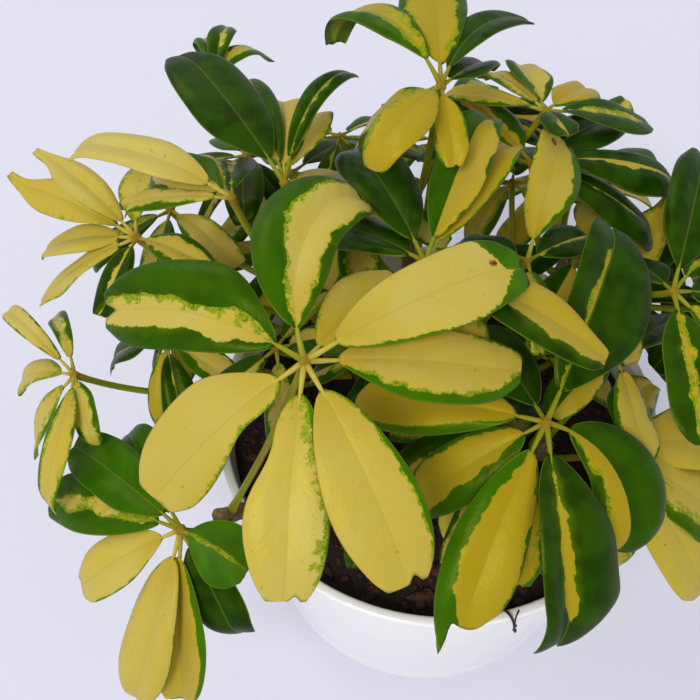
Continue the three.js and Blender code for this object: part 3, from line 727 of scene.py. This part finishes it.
def limited(value):
    return np.clip(value, 0, 1)


def hump(value, place, width):
    """A smooth rise to 1 at a place."""
    return np.exp(-((value - place) / width) ** 2)


def drawn_details(leaflet):
    """The details of a leaflet: drawn at random, and then replaced by those that are given for it."""
    kind = draw(0, 1)
    side = 1 if draw(0, 1) < 0.5 else -1
    crease = draw(0.08, 0.5)
    margin = max(0, min(1, 3 * min(leaflet.left, leaflet.right)))
    details = dict(
        crease=crease, fold=draw(-0.3, 0.3), edge=crease * draw(0.7, 1.3), twist=draw(-0.3, 0.3),
        skew=draw(-0.1, 0.1), full=(draw(-0.1, 0.14), draw(-0.1, 0.14)), blunt=(0, 0), tip_lean=0,
        notch=draw(0.02, 0.06) if kind < 0.5 else 0.0, notch_at=side * draw(0.0, 0.4),
        point=draw(0.0, 0.06) if kind < 0.7 else 0.0, point_at=side * draw(0.6, 0.9),
        hook=draw(-5, 1), sweep=draw(-2.5, 2.5), wave=draw(0.4, 1.5) * leaflet.width / 24,
        tip=draw(-0.1, 0.5) * margin, lime=draw(-0.4, 1.0), stain=False,
        cream=draw(-0.8, 0.3), base=0, fingers=0.5, cut=0, tail=0, curl=0, shade=None)
    return SimpleNamespace(**{**details, **leaflet.details})


def tip_shape(lane, details):
    """How far the blade's end reaches past its last full row, as a share of the length."""
    reach = 0
    for shift in (-0.09, 0, 0.09):
        spot = np.clip(lane + shift, -1, 1)
        notch = details.notch * hump(spot, details.notch_at, 0.26)
        point = details.point * hump(spot, details.point_at, 0.2)
        reach = reach + (point - notch) / 3
    return reach - details.cut + ARC_DEPTH * (np.sqrt(1 - (ARC_SPREAD * lane) ** 2) - ARC_MEAN)


def green_share(leaflet, details, lane, share):
    """How much of each half is green, from below 0 for none to above 1 for all."""
    wander = [draw(0, ROUND) for _ in range(4)]
    halves = []
    for green, slow, quick, start in ((leaflet.left, 4.1, 11.7, 0), (leaflet.right, 4.3, 10.9, 2)):
        swell = 0.2 * np.sin(slow * share + wander[start]) + 0.12 * np.sin(quick * share + wander[start + 1])
        halves.append(1.5 if green > 1 else green + swell * min(green, 1.15 - green) - 0.03)
    base = np.where(lane > 0, details.base, 0) * limited((0.55 - share) / 0.2)
    tip = (details.tip + details.tip_lean * np.sign(lane)) * limited((share - 0.76) / 0.24) ** 1.6
    return np.where(lane > 0, *halves) + base + tip


def blade_section(leaflet, details, lane, row, share, half):
    """A blade's cross-sections: how far each point lies aside of the rib, and its height on both faces."""
    outer = np.abs(lane)
    waves = [draw(0.9, 1.9), draw(0, ROUND), draw(0.6, 2.4)]
    end = np.clip((share - 0.8) / 0.2, 0, 1.1) ** 2
    offset = half * lane
    slope = details.crease + 0.5 * details.fold * np.sign(lane)
    opening = limited(row * 4)
    height = slope * (np.sqrt(offset ** 2 + 0.8) - math.sqrt(0.8)) * (0.4 + 0.6 * opening)
    height -= details.edge * half * outer ** 3 * opening
    ripple = np.sin(waves[0] * ROUND * share + waves[1] + np.sign(lane) * waves[2])
    height += details.wave * ripple * outer ** 2
    height += details.twist * offset * (share - 0.5)
    height += details.hook * end
    aside = offset / np.sqrt(1 + slope ** 2) + details.sweep * end
    aside += details.curl * end * hump(lane, details.point_at, 0.25)
    groove = hump(offset, 0, 0.6)
    fade = 1 - 0.8 * row
    thick = BLADE_THICKNESS / 2 * (1 - outer ** 6)
    return aside, height + thick - 0.2 * groove * fade, height - thick - (0.15 + 0.6 * fade) * groove


def fine_blade(umbrella, leaflet, half_lanes, rows):
    """Both faces of a leaflet's blade, with the values that its material draws the colours from."""
    details = drawn_details(leaflet)
    lanes = np.array([-lane for lane in half_lanes[:0:-1]] + list(half_lanes))
    lane, row = np.meshgrid(lanes, np.linspace(0, 1, rows), indexing="ij")
    left = lane > 0
    base_share = BLADE_START + (1 - BLADE_START) * row
    near_tip = limited((row - 0.5) / 0.5) ** 2
    share = base_share * FULL_ROWS + BLADE_START * (1 - FULL_ROWS) + near_tip * tip_shape(lane, details)
    share = np.minimum(share, 1 + details.tail)
    skew = details.skew * np.sin(np.pi * limited(row * 1.1)) * np.sign(lane)
    full = np.where(left, *details.full) * hump(row, 0.3, 0.2)
    blunt = np.where(left, *details.blunt) * hump(row, 0.95, 0.2)
    half = blade_half_width(base_share, leaflet.width) * (1 + skew + full + blunt)
    green = green_share(leaflet, details, lane, share)
    place, side, normal = leaflet_frames(umbrella, leaflet, share.ravel(), BLADE_STEPS)
    aside, *heights = blade_section(leaflet, details, lane, row, share, half)
    middle = place + side * aside.ravel()[:, None]
    top, under = [middle + normal * height.ravel()[:, None] for height in heights]

    # Values for the material. The first is how many mm inside the green margin a point lies.
    outer = np.abs(lane)
    offset = half * lane
    seed = draw(0, 1)
    vein = leaflet.length * share - np.abs(offset) * VEIN_SLANT + VEIN_SHIFT * seed
    dark = 0.15 + 0.85 * limited((leaflet.left + leaflet.right) / 2)
    if details.shade is not None:
        dark = details.shade
    # How far a point lies from the blade's edge, which the painted edge highlight in the material reads
    edge_room = np.minimum(half * (1 - outer), leaflet.length * (1 - BLADE_START) * (1 - row))
    spot = blemish(leaflet, details, share, offset)
    lime = np.where(left, *np.broadcast_to(details.lime, 2))
    values = [half * (outer - 1 + green), vein, offset, seed, dark, spot,
              0, lime, share, edge_room, details.cream, details.fingers]
    values = np.stack([np.broadcast_to(value, lane.shape).ravel() for value in values], -1)
    under_values = values.copy()
    under_values[:, UNDER_COLUMN] = 1

    # The under face uses the upper one's points along the blade's edge
    index = np.arange(lane.size).reshape(lane.shape)
    inside = np.zeros(lane.shape, bool)
    inside[1:-1, 1:-1] = True
    below = np.where(inside, index + lane.size, index)
    used, renumber = np.unique(np.concatenate([index.ravel(), below.ravel()]), return_inverse=True)
    index = renumber[:lane.size].reshape(lane.shape)
    below = renumber[lane.size:].reshape(lane.shape)
    upper = np.stack([index[:-1, :-1], index[:-1, 1:], index[1:, 1:], index[1:, :-1]], -1).reshape(-1, 4)
    lower = np.stack([below[:-1, :-1], below[1:, :-1], below[1:, 1:], below[:-1, 1:]], -1).reshape(-1, 4)
    faces = np.vstack([upper, lower]).tolist()
    return np.vstack([top, under])[used], faces, np.vstack([values, under_values])[used]


def blemish(leaflet, details, share, offset):
    """Distance from a small brown blemish, which only some leaflets have, as a multiple of its size."""
    there = draw(0, 1) < 0.3
    place = draw(0.3, 0.92)
    aside = draw(-0.3, 0.3) * leaflet.width
    size = draw(0.25, 0.7)
    if details.stain:
        there, place, aside, size = True, 0.86, 2.4, 1.6
    distance = np.hypot((share - place) * leaflet.length, offset - aside)
    return distance / size if there else np.full_like(distance, 9.0)


def stalk_values(points, hub):
    """Brown is 1 at the hub, where the stalks turn brown, and 0 a few millimetres away."""
    values = blank_values(points)
    values[:, HUB_COLUMN] = np.clip(1.1 - np.linalg.norm(points - hub, axis=1) / 4, 0, 1)
    return values


def add_stalklet(soup, umbrella, leaflet, cream):
    """The short stalk between the hub and a blade, which runs on as the rib under the blade."""
    place, _, normal = leaflet_frames(umbrella, leaflet, np.array([0.0, 0.06, 0.12, 0.2]), BLADE_STEPS)
    size = 0.6 + 0.3 * leaflet.width / 26
    points, faces = tube(Curve(*(place - normal * np.array([0, 0.1, 0.3, 0.4])[:, None])),
                         lambda share: size * (1.25 - 0.7 * share), 8, 8)
    values = stalk_values(points, umbrella.hub)
    values[:, YELLOW_COLUMN] = limited(1 + cream) * (1 - limited(0.7 * (leaflet.left + leaflet.right)))
    soup.add(points, faces, 1, values)


def stalk_thickness(share):
    foot = max(0, 1 - share / 0.2) ** 2
    return STALK_RADIUS + (STALK_FOOT_RADIUS - STALK_RADIUS) * foot + 0.3 * max(0, (share - 0.94) / 0.06)


def make_umbrella(number, umbrella, materials):
    soup = Soup()
    hub = umbrella.hub
    grid = CLOSE_GRID if number <= len(SHAPED_UMBRELLAS) else WIDE_GRID
    for leaflet in umbrella.blades:
        points, faces, values = fine_blade(umbrella, leaflet, *grid)
        soup.add(points, faces, 0, values)
        add_stalklet(soup, umbrella, leaflet, values[0, CREAM_COLUMN])
    phase = draw(0, ROUND)
    start, second, third, end = umbrella.curve.points
    shift = np.array(STALK_SHIFTS.get(number, (0, 0, 0)))
    stalk = tube(Curve(start, second + shift, third + shift, end), stalk_thickness, 10, 40,
                 lambda share, turn: 0.05 * math.sin(3 * turn + phase + 4 * share))
    size = HUB_RADIUS * (0.42 + 0.03 * len(umbrella.blades))
    knot = ball(hub, np.array([size, size, size * 0.8]), rough=0.4)
    for points, faces in (stalk, knot):
        soup.add(points, faces, 1, stalk_values(points, hub))
    name = f"umbrella_leaf_{number:02d}"
    piece = soup.piece(f"fine_{name}", materials, ATTRIBUTES)
    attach(piece, "root")
    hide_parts(name)


# Stems

def make_stem(name, curve, material):
    length = curve.length()
    phase = draw(0, 50)

    def bump(share, turn):
        ridge = max(0, 1 - abs((share * length / SCAR_SPACING + phase) % 1 - 0.5) / 0.12)
        spot = Vector((math.cos(turn) * 1.4, math.sin(turn) * 1.4, share * length * 0.3 + phase))
        return 0.13 * ridge + 0.12 * noise.noise(spot) + 0.05 * noise.noise(spot * 3.7)

    soup = Soup()
    soup.add(*tube(curve, lambda share: stem_radius(share) * 0.93, 18, 90, bump))
    soup.add(*ball(curve.point(1), np.array([3.4, 3.4, 3.0]), rough=0.4))
    piece = soup.piece(f"fine_stem_{name}", [material])
    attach(piece, "root")
    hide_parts(f"stem_{name}")


# Pot

def rounded(outline, radii, steps=6):
    """An open outline with its inner corners rounded by arcs of the given radii."""
    points = [outline[0]]
    for index, reach in enumerate(radii, 1):
        before, corner, after = (np.array(outline[k], float) for k in (index - 1, index, index + 1))
        start = corner + unit(before - corner) * reach
        end = corner + unit(after - corner) * reach
        for step in range(steps + 1):
            share = step / steps
            points.append((1 - share) ** 2 * start + 2 * share * (1 - share) * corner + share ** 2 * end)
    return points + [outline[-1]]


def make_pot(material):
    outline = [
        (0, 0), (FOOT_RADIUS, 0), (BELLY_RADIUS - 0.6, 7), (wall_radius(30), 30), (wall_radius(80), 80),
        (RIM_RADIUS, POT_HEIGHT), (RIM_RADIUS - RIM_WALL, POT_HEIGHT),
        (BELLY_RADIUS - RIM_WALL, BELLY_HEIGHT + 2), (FOOT_RADIUS - 2, FLOOR_THICKNESS), (0, FLOOR_THICKNESS),
    ]
    first, *profile, last = rounded(outline, [1.2, 9, 5, 5, 1.7, 1.7, 3, 2])
    rings = [circle(radius, height, POT_SIDES) for radius, height in profile]
    soup = Soup()
    soup.add(*skin((0, 0, first[1]), rings, (0, 0, last[1])))
    piece = soup.piece("fine_pot", [material])
    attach(piece, "root")
    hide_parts("pot")


# Soil

def soil_height(x, y):
    spot = Vector((x * 0.05, y * 0.05, 0.3))
    return (SOIL_HEIGHT + 1.2 * noise.noise(spot) + 0.9 * noise.noise(spot * 4.1)
            + 0.5 * noise.noise(spot * 11.3))


def make_soil(material):
    rings, sides = 46, 150
    outer = wall_radius(SOIL_HEIGHT) - RIM_WALL - 0.5
    loops = []
    for ring in range(1, rings + 1):
        drop = 2 if ring == rings else 0
        loops.append([(x, y, soil_height(x, y) - drop) for x, y, _ in circle(outer * ring / rings, 0, sides)])
    foot = FLOOR_THICKNESS + 0.4
    loops.append(circle(FOOT_RADIUS - 2.6, foot, sides))
    soup = Soup()
    soup.add(*skin((0, 0, soil_height(0, 0)), loops, (0, 0, foot), downward=True))
    piece = soup.piece("fine_soil", [material])
    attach(piece, "root")
    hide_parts("soil")


def make_crumbs(material):
    """Loose crumbs of soil and slivers of bark that lie on the soil."""
    soup = Soup()
    reach = wall_radius(SOIL_HEIGHT) - RIM_WALL - 3.5
    for _ in range(CRUMB_COUNT):
        radius = reach * math.sqrt(draw(0, 1))
        turn = draw(0, 2 * math.pi)
        x, y = radius * math.cos(turn), radius * math.sin(turn)
        size = 0.5 + 1.7 * draw(0, 1) ** 3
        long = draw(0, 1) < 0.2
        radii = np.array([size * (draw(1.6, 3.4) if long else draw(0.8, 1.3)), size * 0.8, size * 0.6])
        points, faces = ball(np.zeros(3), radii, 5, 7, rough=0.9)
        points += np.array([[draw(-0.12, 0.12) * size for _ in range(3)] for _ in range(len(points))])
        heading = draw(0, 2 * math.pi)
        cos, sin = math.cos(heading), math.sin(heading)
        points = points @ np.array([(cos, sin, 0), (-sin, cos, 0), (0, 0, 1)])
        soup.add(points + np.array([x, y, soil_height(x, y) + size * 0.3]), faces)
    piece = soup.piece("soil_crumbs", [material])
    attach(piece, "root")


def make_fibres(material):
    """Shreds of bark that hang over the rim in front."""
    soup = Soup()
    for radius, corners in FIBRES:
        points, faces = tube(Curve(*corners), lambda share: radius * (1 - 0.3 * share), 6, 24,
                             lambda share, turn: 0.3 * math.sin(11 * share + turn))
        soup.add(points, faces)
        soup.add(*ball(points[-1], np.array([0.8, 0.7, 1.1]) * radius * 1.6, 6, 8, rough=0.9))
    piece = soup.piece("bark_fibres", [material])
    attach(piece, "root")


# Materials

def srgb(red, green, blue):
    """A linear colour from 8-bit display values."""
    values = [value / 255 for value in (red, green, blue)]
    return (*[value / 12.92 if value <= 0.04045 else ((value + 0.055) / 1.055) ** 2.4 for value in values], 1)


class Wire:
    """An output of a node, which sums and products can be made from."""

    def __init__(self, nodes, socket):
        self.nodes, self.socket = nodes, socket

    def joined(self, operation, other):
        node = self.nodes.node("ShaderNodeMath", operation=operation)
        self.nodes.feed(node.inputs[0], self)
        self.nodes.feed(node.inputs[1], other)
        return Wire(self.nodes, node.outputs[0])

    def __add__(self, other):
        return self.joined("ADD", other)

    def __sub__(self, other):
        return self.joined("SUBTRACT", other)

    def __mul__(self, other):
        return self.joined("MULTIPLY", other)


class Nodes:
    """A material's node tree, built by short calls."""

    def __init__(self, name):
        self.material = bpy.data.materials.new(name)
        self.material.use_nodes = True
        self.tree = self.material.node_tree
        self.tree.nodes.clear()

    def node(self, kind, inputs=None, **settings):
        node = self.tree.nodes.new(kind)
        for label, value in settings.items():
            setattr(node, label, value)
        for label, value in (inputs or {}).items():
            self.feed(node.inputs[label], value)
        return node

    def feed(self, socket, value):
        if isinstance(value, Wire):
            self.tree.links.new(value.socket, socket)
        else:
            socket.default_value = value

    def wire(self, kind, output, inputs=None, **settings):
        return Wire(self, self.node(kind, inputs, **settings).outputs[output])

    def split(self, place):
        outputs = self.node("ShaderNodeSeparateXYZ", {"Vector": place}).outputs
        return [Wire(self, output) for output in outputs]

    def attribute(self, name):
        return self.split(self.wire("ShaderNodeAttribute", "Vector", attribute_name=name))

    def place(self):
        return self.wire("ShaderNodeTexCoord", "Object")

    def spot(self, x, y, z):
        return self.wire("ShaderNodeCombineXYZ", 0, {"X": x, "Y": y, "Z": z})

    def noise(self, place, scale, detail=2.0, rough=0.5):
        inputs = {"Vector": place, "Scale": scale, "Detail": detail, "Roughness": rough}
        return self.wire("ShaderNodeTexNoise", "Fac", inputs)

    def ramp(self, value, low, high, start=0.0, end=1.0):
        inputs = {"Value": value, "From Min": low, "From Max": high, "To Min": start, "To Max": end}
        return self.wire("ShaderNodeMapRange", "Result", inputs)

    def blend(self, share, first, second):
        """A mix of two colours, each a wire or three 8-bit display values."""
        node = self.node("ShaderNodeMix", data_type="RGBA")
        self.feed(node.inputs["Factor"], share)
        for label, colour in (("A", first), ("B", second)):
            self.feed(node.inputs[label], colour if isinstance(colour, Wire) else srgb(*colour))
        return Wire(self, node.outputs["Result"])

    def layers(self, colour, *layers):
        """A colour with others laid over it in turn, each with its share."""
        for share, tint in layers:
            colour = self.blend(share, colour, tint)
        return colour

    def bump(self, height, strength, distance):
        inputs = {"Height": height, "Strength": strength, "Distance": distance}
        return self.wire("ShaderNodeBump", "Normal", inputs)

    def surface(self, colour, rough, others):
        inputs = {"Base Color": colour, "Roughness": rough, **others}
        return self.wire("ShaderNodeBsdfPrincipled", 0, inputs)

    def finish(self, shader):
        self.node("ShaderNodeOutputMaterial", {"Surface": shader})
        return self.material


def leaf_material():
    n = Nodes("leaf_blade")
    margin, vein, across = n.attribute("blade")
    seed, dark, spot = n.attribute("tone")
    under, lime_wish, along = n.attribute("face")
    edge_room, cream, finger_wish = n.attribute("rim")
    far = seed * PATTERN_SHIFT
    side = n.wire("ShaderNodeMath", 0, {0: across}, operation="ABSOLUTE")
    even = n.spot(vein, across, far)
    plain = n.spot(vein + side * VEIN_SLANT, across, far)
    fingers = n.noise(n.spot(vein * 0.5, across * 0.2, far), 1, 2, 0.5)
    crumble = n.noise(plain, 0.36, 4, 0.6)
    speckle = n.noise(plain, 1.3, 2, 0.55)
    drift = n.noise(plain, 0.12, 1)
    mottle = n.noise(even, 0.06, 2)

    # The line between yellow and green: a slow drift, a fine crumble, and short fingers along the veins
    tipward = n.ramp(along, 0.7, 0.95, 0.4, 1) * finger_wish
    stray = (drift - 0.5) * 5.4 + (fingers - 0.5) * 2.2 * tipward + (crumble - 0.5) * 2.5
    ragged = margin + stray * n.ramp(dark, 0.17, 0.34, 0.3, 1)
    green = n.ramp(ragged, -0.06, 0.14)
    halo = n.ramp(ragged, n.ramp(lime_wish, 0, 1, -0.5, -5), -0.1)
    lime = n.ramp(halo * 0.34 + crumble, 0.66, 0.74)
    islands = n.ramp(halo * 0.22 + speckle, 0.7, 0.76) * lime

    # Towards the leaflet's base the yellow turns a darker orange: partly the leaf's own tint, partly painted
    # shade near the hub
    yellow = n.layers(
        n.blend(n.ramp(mottle, 0.36, 0.64), (216, 194, 66), (216, 199, 98)),
        (n.ramp(cream, 0, 1), (232, 212, 132)), (n.ramp(cream, 0, -1), (184, 158, 4)),
        (n.ramp(seed, 0, 1, 0, 0.35), (204, 170, 30)), (n.ramp(along, 0.42, 0.12, 0, 0.5), (190, 158, 26)))
    bright = n.blend(n.ramp(mottle, 0.38, 0.62), (78, 136, 0), (58, 112, 0))
    deep = n.blend(n.ramp(drift, 0.4, 0.62), (37, 78, 0), (23, 57, 0))
    ghost = n.ramp(ragged, 3, 0.3) * n.ramp(mottle, 0.5, 0.6, 0, 0.4)
    leaf_green = n.blend(ghost, n.blend(dark, bright, deep), (106, 136, 8))
    rib = n.ramp(side, 0.5, 0.1) * n.ramp(green, 0, 1, 0.14, 0.34)
    # A thin paler line along the green edges is a painted highlight, where the edge would catch the light
    painted_edge_highlight = n.ramp(edge_room, 0.5, 0.15) * n.ramp(green, 0, 1, 0.15, 0.45)
    brown = n.ramp(spot + crumble * 0.9, 1.5, 1.2)
    under = n.ramp(under, 0.4, 0.6)
    colour = n.layers(
        yellow, (lime * 0.85, (150, 168, 12)), (islands * 0.85, (88, 132, 2)), (green, leaf_green),
        (rib, (136, 146, 44)), (painted_edge_highlight, (146, 168, 50)), (brown, (128, 62, 18)))
    colour = n.blend(under, colour, n.blend(0.5, colour, (140, 156, 84)))

    ripple = n.wire("ShaderNodeMath", 0, {0: vein * 1.1}, operation="SINE")
    veins = n.ramp(ripple, 0.8, 1, 0, -1) * n.ramp(side, 0.4, 2.5)
    grain = n.noise(even, 1.4, 3)
    normal = n.bump(veins * 0.14 + grain * 0.4 + n.noise(even, 0.22, 2) * 2.2, 0.3, 0.0004)
    rough = n.ramp(grain, 0.3, 0.7, 0.28, 0.4) + under * 0.25
    surface = n.surface(colour, rough, {
        "Normal": normal, "Specular IOR Level": 0.24, "Specular Tint": (1, 1, 0.2, 1)})
    glow = n.wire("ShaderNodeBsdfTranslucent", 0, {"Color": colour, "Normal": normal})
    return n.finish(n.wire("ShaderNodeMixShader", 0, {"Fac": 0.28, 1: surface, 2: glow}))


def stalk_material():
    n = Nodes("leaf_stalk")
    place = n.place()
    patch = n.noise(place, 90, 3)
    fleck = n.noise(place, 900, 2)
    hub, yellow, _ = n.attribute("tone")
    colour = n.layers(
        n.blend(n.ramp(patch, 0.35, 0.65), (122, 138, 12), (142, 134, 24)),
        (yellow * 0.8, (198, 180, 76)), (n.ramp(fleck, 0.62, 0.74, 0, 0.6), (112, 92, 24)),
        (hub * n.ramp(patch, 0.2, 0.7, 0.6, 1), (146, 98, 24)))
    return n.finish(n.surface(colour, n.ramp(fleck, 0.3, 0.7, 0.38, 0.55), {
        "Normal": n.bump(fleck, 0.25, 0.0003), "Specular IOR Level": 0.2,
        "Specular Tint": (1, 1, 0.4, 1)}))


def bark_material():
    n = Nodes("stem_bark")
    place = n.place()
    patch = n.noise(place, 120, 4, 0.6)
    fleck = n.noise(place, 700, 3)
    colour = n.blend(n.ramp(patch, 0.3, 0.7), (128, 106, 62), (92, 72, 44))
    colour = n.blend(n.ramp(fleck, 0.58, 0.7, 0, 0.8), colour, (176, 158, 116))
    return n.finish(n.surface(colour, n.ramp(patch, 0.3, 0.7, 0.7, 0.9), {
        "Normal": n.bump(patch + fleck * 0.5, 0.6, 0.0006)}))


def soil_material(name, first, second, third):
    n = Nodes(name)
    place = n.place()
    patch = n.noise(place, 160, 4, 0.65)
    fleck = n.noise(place, 950, 3, 0.6)
    colour = n.blend(n.ramp(patch, 0.35, 0.65), first, second)
    colour = n.blend(n.ramp(fleck, 0.55, 0.72), colour, third)
    return n.finish(n.surface(colour, n.ramp(fleck, 0.3, 0.7, 0.75, 0.98), {
        "Normal": n.bump(patch + fleck, 0.9, 0.0012)}))


def glaze_material():
    n = Nodes("pot_glaze")
    place = n.place()
    patch = n.noise(place, 14, 2)
    fine = n.noise(place, 260, 2)
    height = n.split(place)[2]
    colour = n.blend(n.ramp(patch, 0.35, 0.65), (251, 250, 245), (248, 248, 244))
    bare = n.ramp(height + fine * 0.0004, 0.0006, 0.0002)
    colour = n.blend(bare, colour, (214, 204, 190))
    return n.finish(n.surface(colour, n.ramp(patch, 0.3, 0.7, 0.07, 0.12) + bare * 0.6, {
        "Normal": n.bump(patch, 0.12, 0.001), "Coat Weight": 0.5, "Coat Roughness": 0.05}))


def floor_material():
    n = Nodes("studio_floor")
    colour = n.blend(n.noise(n.place(), 3, 1), (223, 223, 235), (220, 220, 233))
    return n.finish(n.surface(colour, 0.85, {}))


# Studio

def make_floor():
    soup = Soup()
    corners = ((-1, -1, 0), (1, -1, 0), (1, 1, 0), (-1, 1, 0))
    soup.add(np.array(corners) * FLOOR_REACH, [(0, 1, 2, 3)])
    floor = soup.piece("studio_floor", [floor_material()])


def make_light(name, place, size, power, tint):
    data = bpy.data.lights.new(name, "AREA")
    data.shape = "DISK"
    data.size = size
    data.energy = power
    data.color = tint
    light = bpy.data.objects.new(name, data)
    light.location = place
    light.rotation_euler = (Vector(LIGHT_TARGET) - Vector(place)).to_track_quat("-Z", "Y").to_euler()
    scene.collection.objects.link(light)


def make_world():
    """Soft light from all around, and a paler backdrop behind the floor's edge."""
    world = bpy.data.worlds.new("studio_world")
    world.use_nodes = True
    nodes = world.node_tree.nodes
    background = nodes["Background"]
    background.inputs["Color"].default_value = (0.95, 0.955, 1.0, 1)
    strength = nodes.new("ShaderNodeMath")
    strength.operation = "MULTIPLY_ADD"
    strength.inputs[1].default_value = BACKDROP_GAIN
    strength.inputs[2].default_value = WORLD_STRENGTH
    seen = nodes.new("ShaderNodeLightPath").outputs["Is Camera Ray"]
    world.node_tree.links.new(seen, strength.inputs[0])
    world.node_tree.links.new(strength.outputs[0], background.inputs["Strength"])
    scene.world = world


def make_camera():
    data = bpy.data.cameras.new("photo_camera")
    data.sensor_width = 36
    data.lens = data.sensor_width * FOCAL_PIXELS / IMAGE_PIXELS
    camera = bpy.data.objects.new("photo_camera", data)
    camera.location = CAMERA_PLACE
    camera.rotation_euler = (math.pi / 2 - CAMERA_PITCH, 0, 0)
    scene.collection.objects.link(camera)
    scene.camera = camera


def main():
    make_camera()
    make_world()
    make_floor()
    make_light("key_light", (-1.8, -3.9, 5.3), 2.4, 226, (1.0, 0.985, 0.96))
    make_light("back_light", (-2.4, 3.4, 4.6), 3.0, 62, (0.98, 0.99, 1.0))
    scene.view_settings.view_transform = "Standard"

    stems = {name: stem_curve(*points) for name, points in STEMS.items()}
    umbrellas = all_umbrellas()
    place_leaflets(umbrellas, place_stalks(umbrellas, stems))

    materials = [leaf_material(), stalk_material()]
    for number, umbrella in enumerate(umbrellas, 1):
        make_umbrella(number, umbrella, materials)
    bark = bark_material()
    for name, curve in stems.items():
        make_stem(name, curve, bark)
    make_pot(glaze_material())
    make_soil(soil_material("soil_bed", (34, 19, 12), (18, 11, 8), (70, 36, 22)))
    crumbs = soil_material("soil_crumbs", (84, 40, 24), (28, 16, 11), (128, 76, 46))
    make_crumbs(crumbs)
    make_fibres(crumbs)


main()
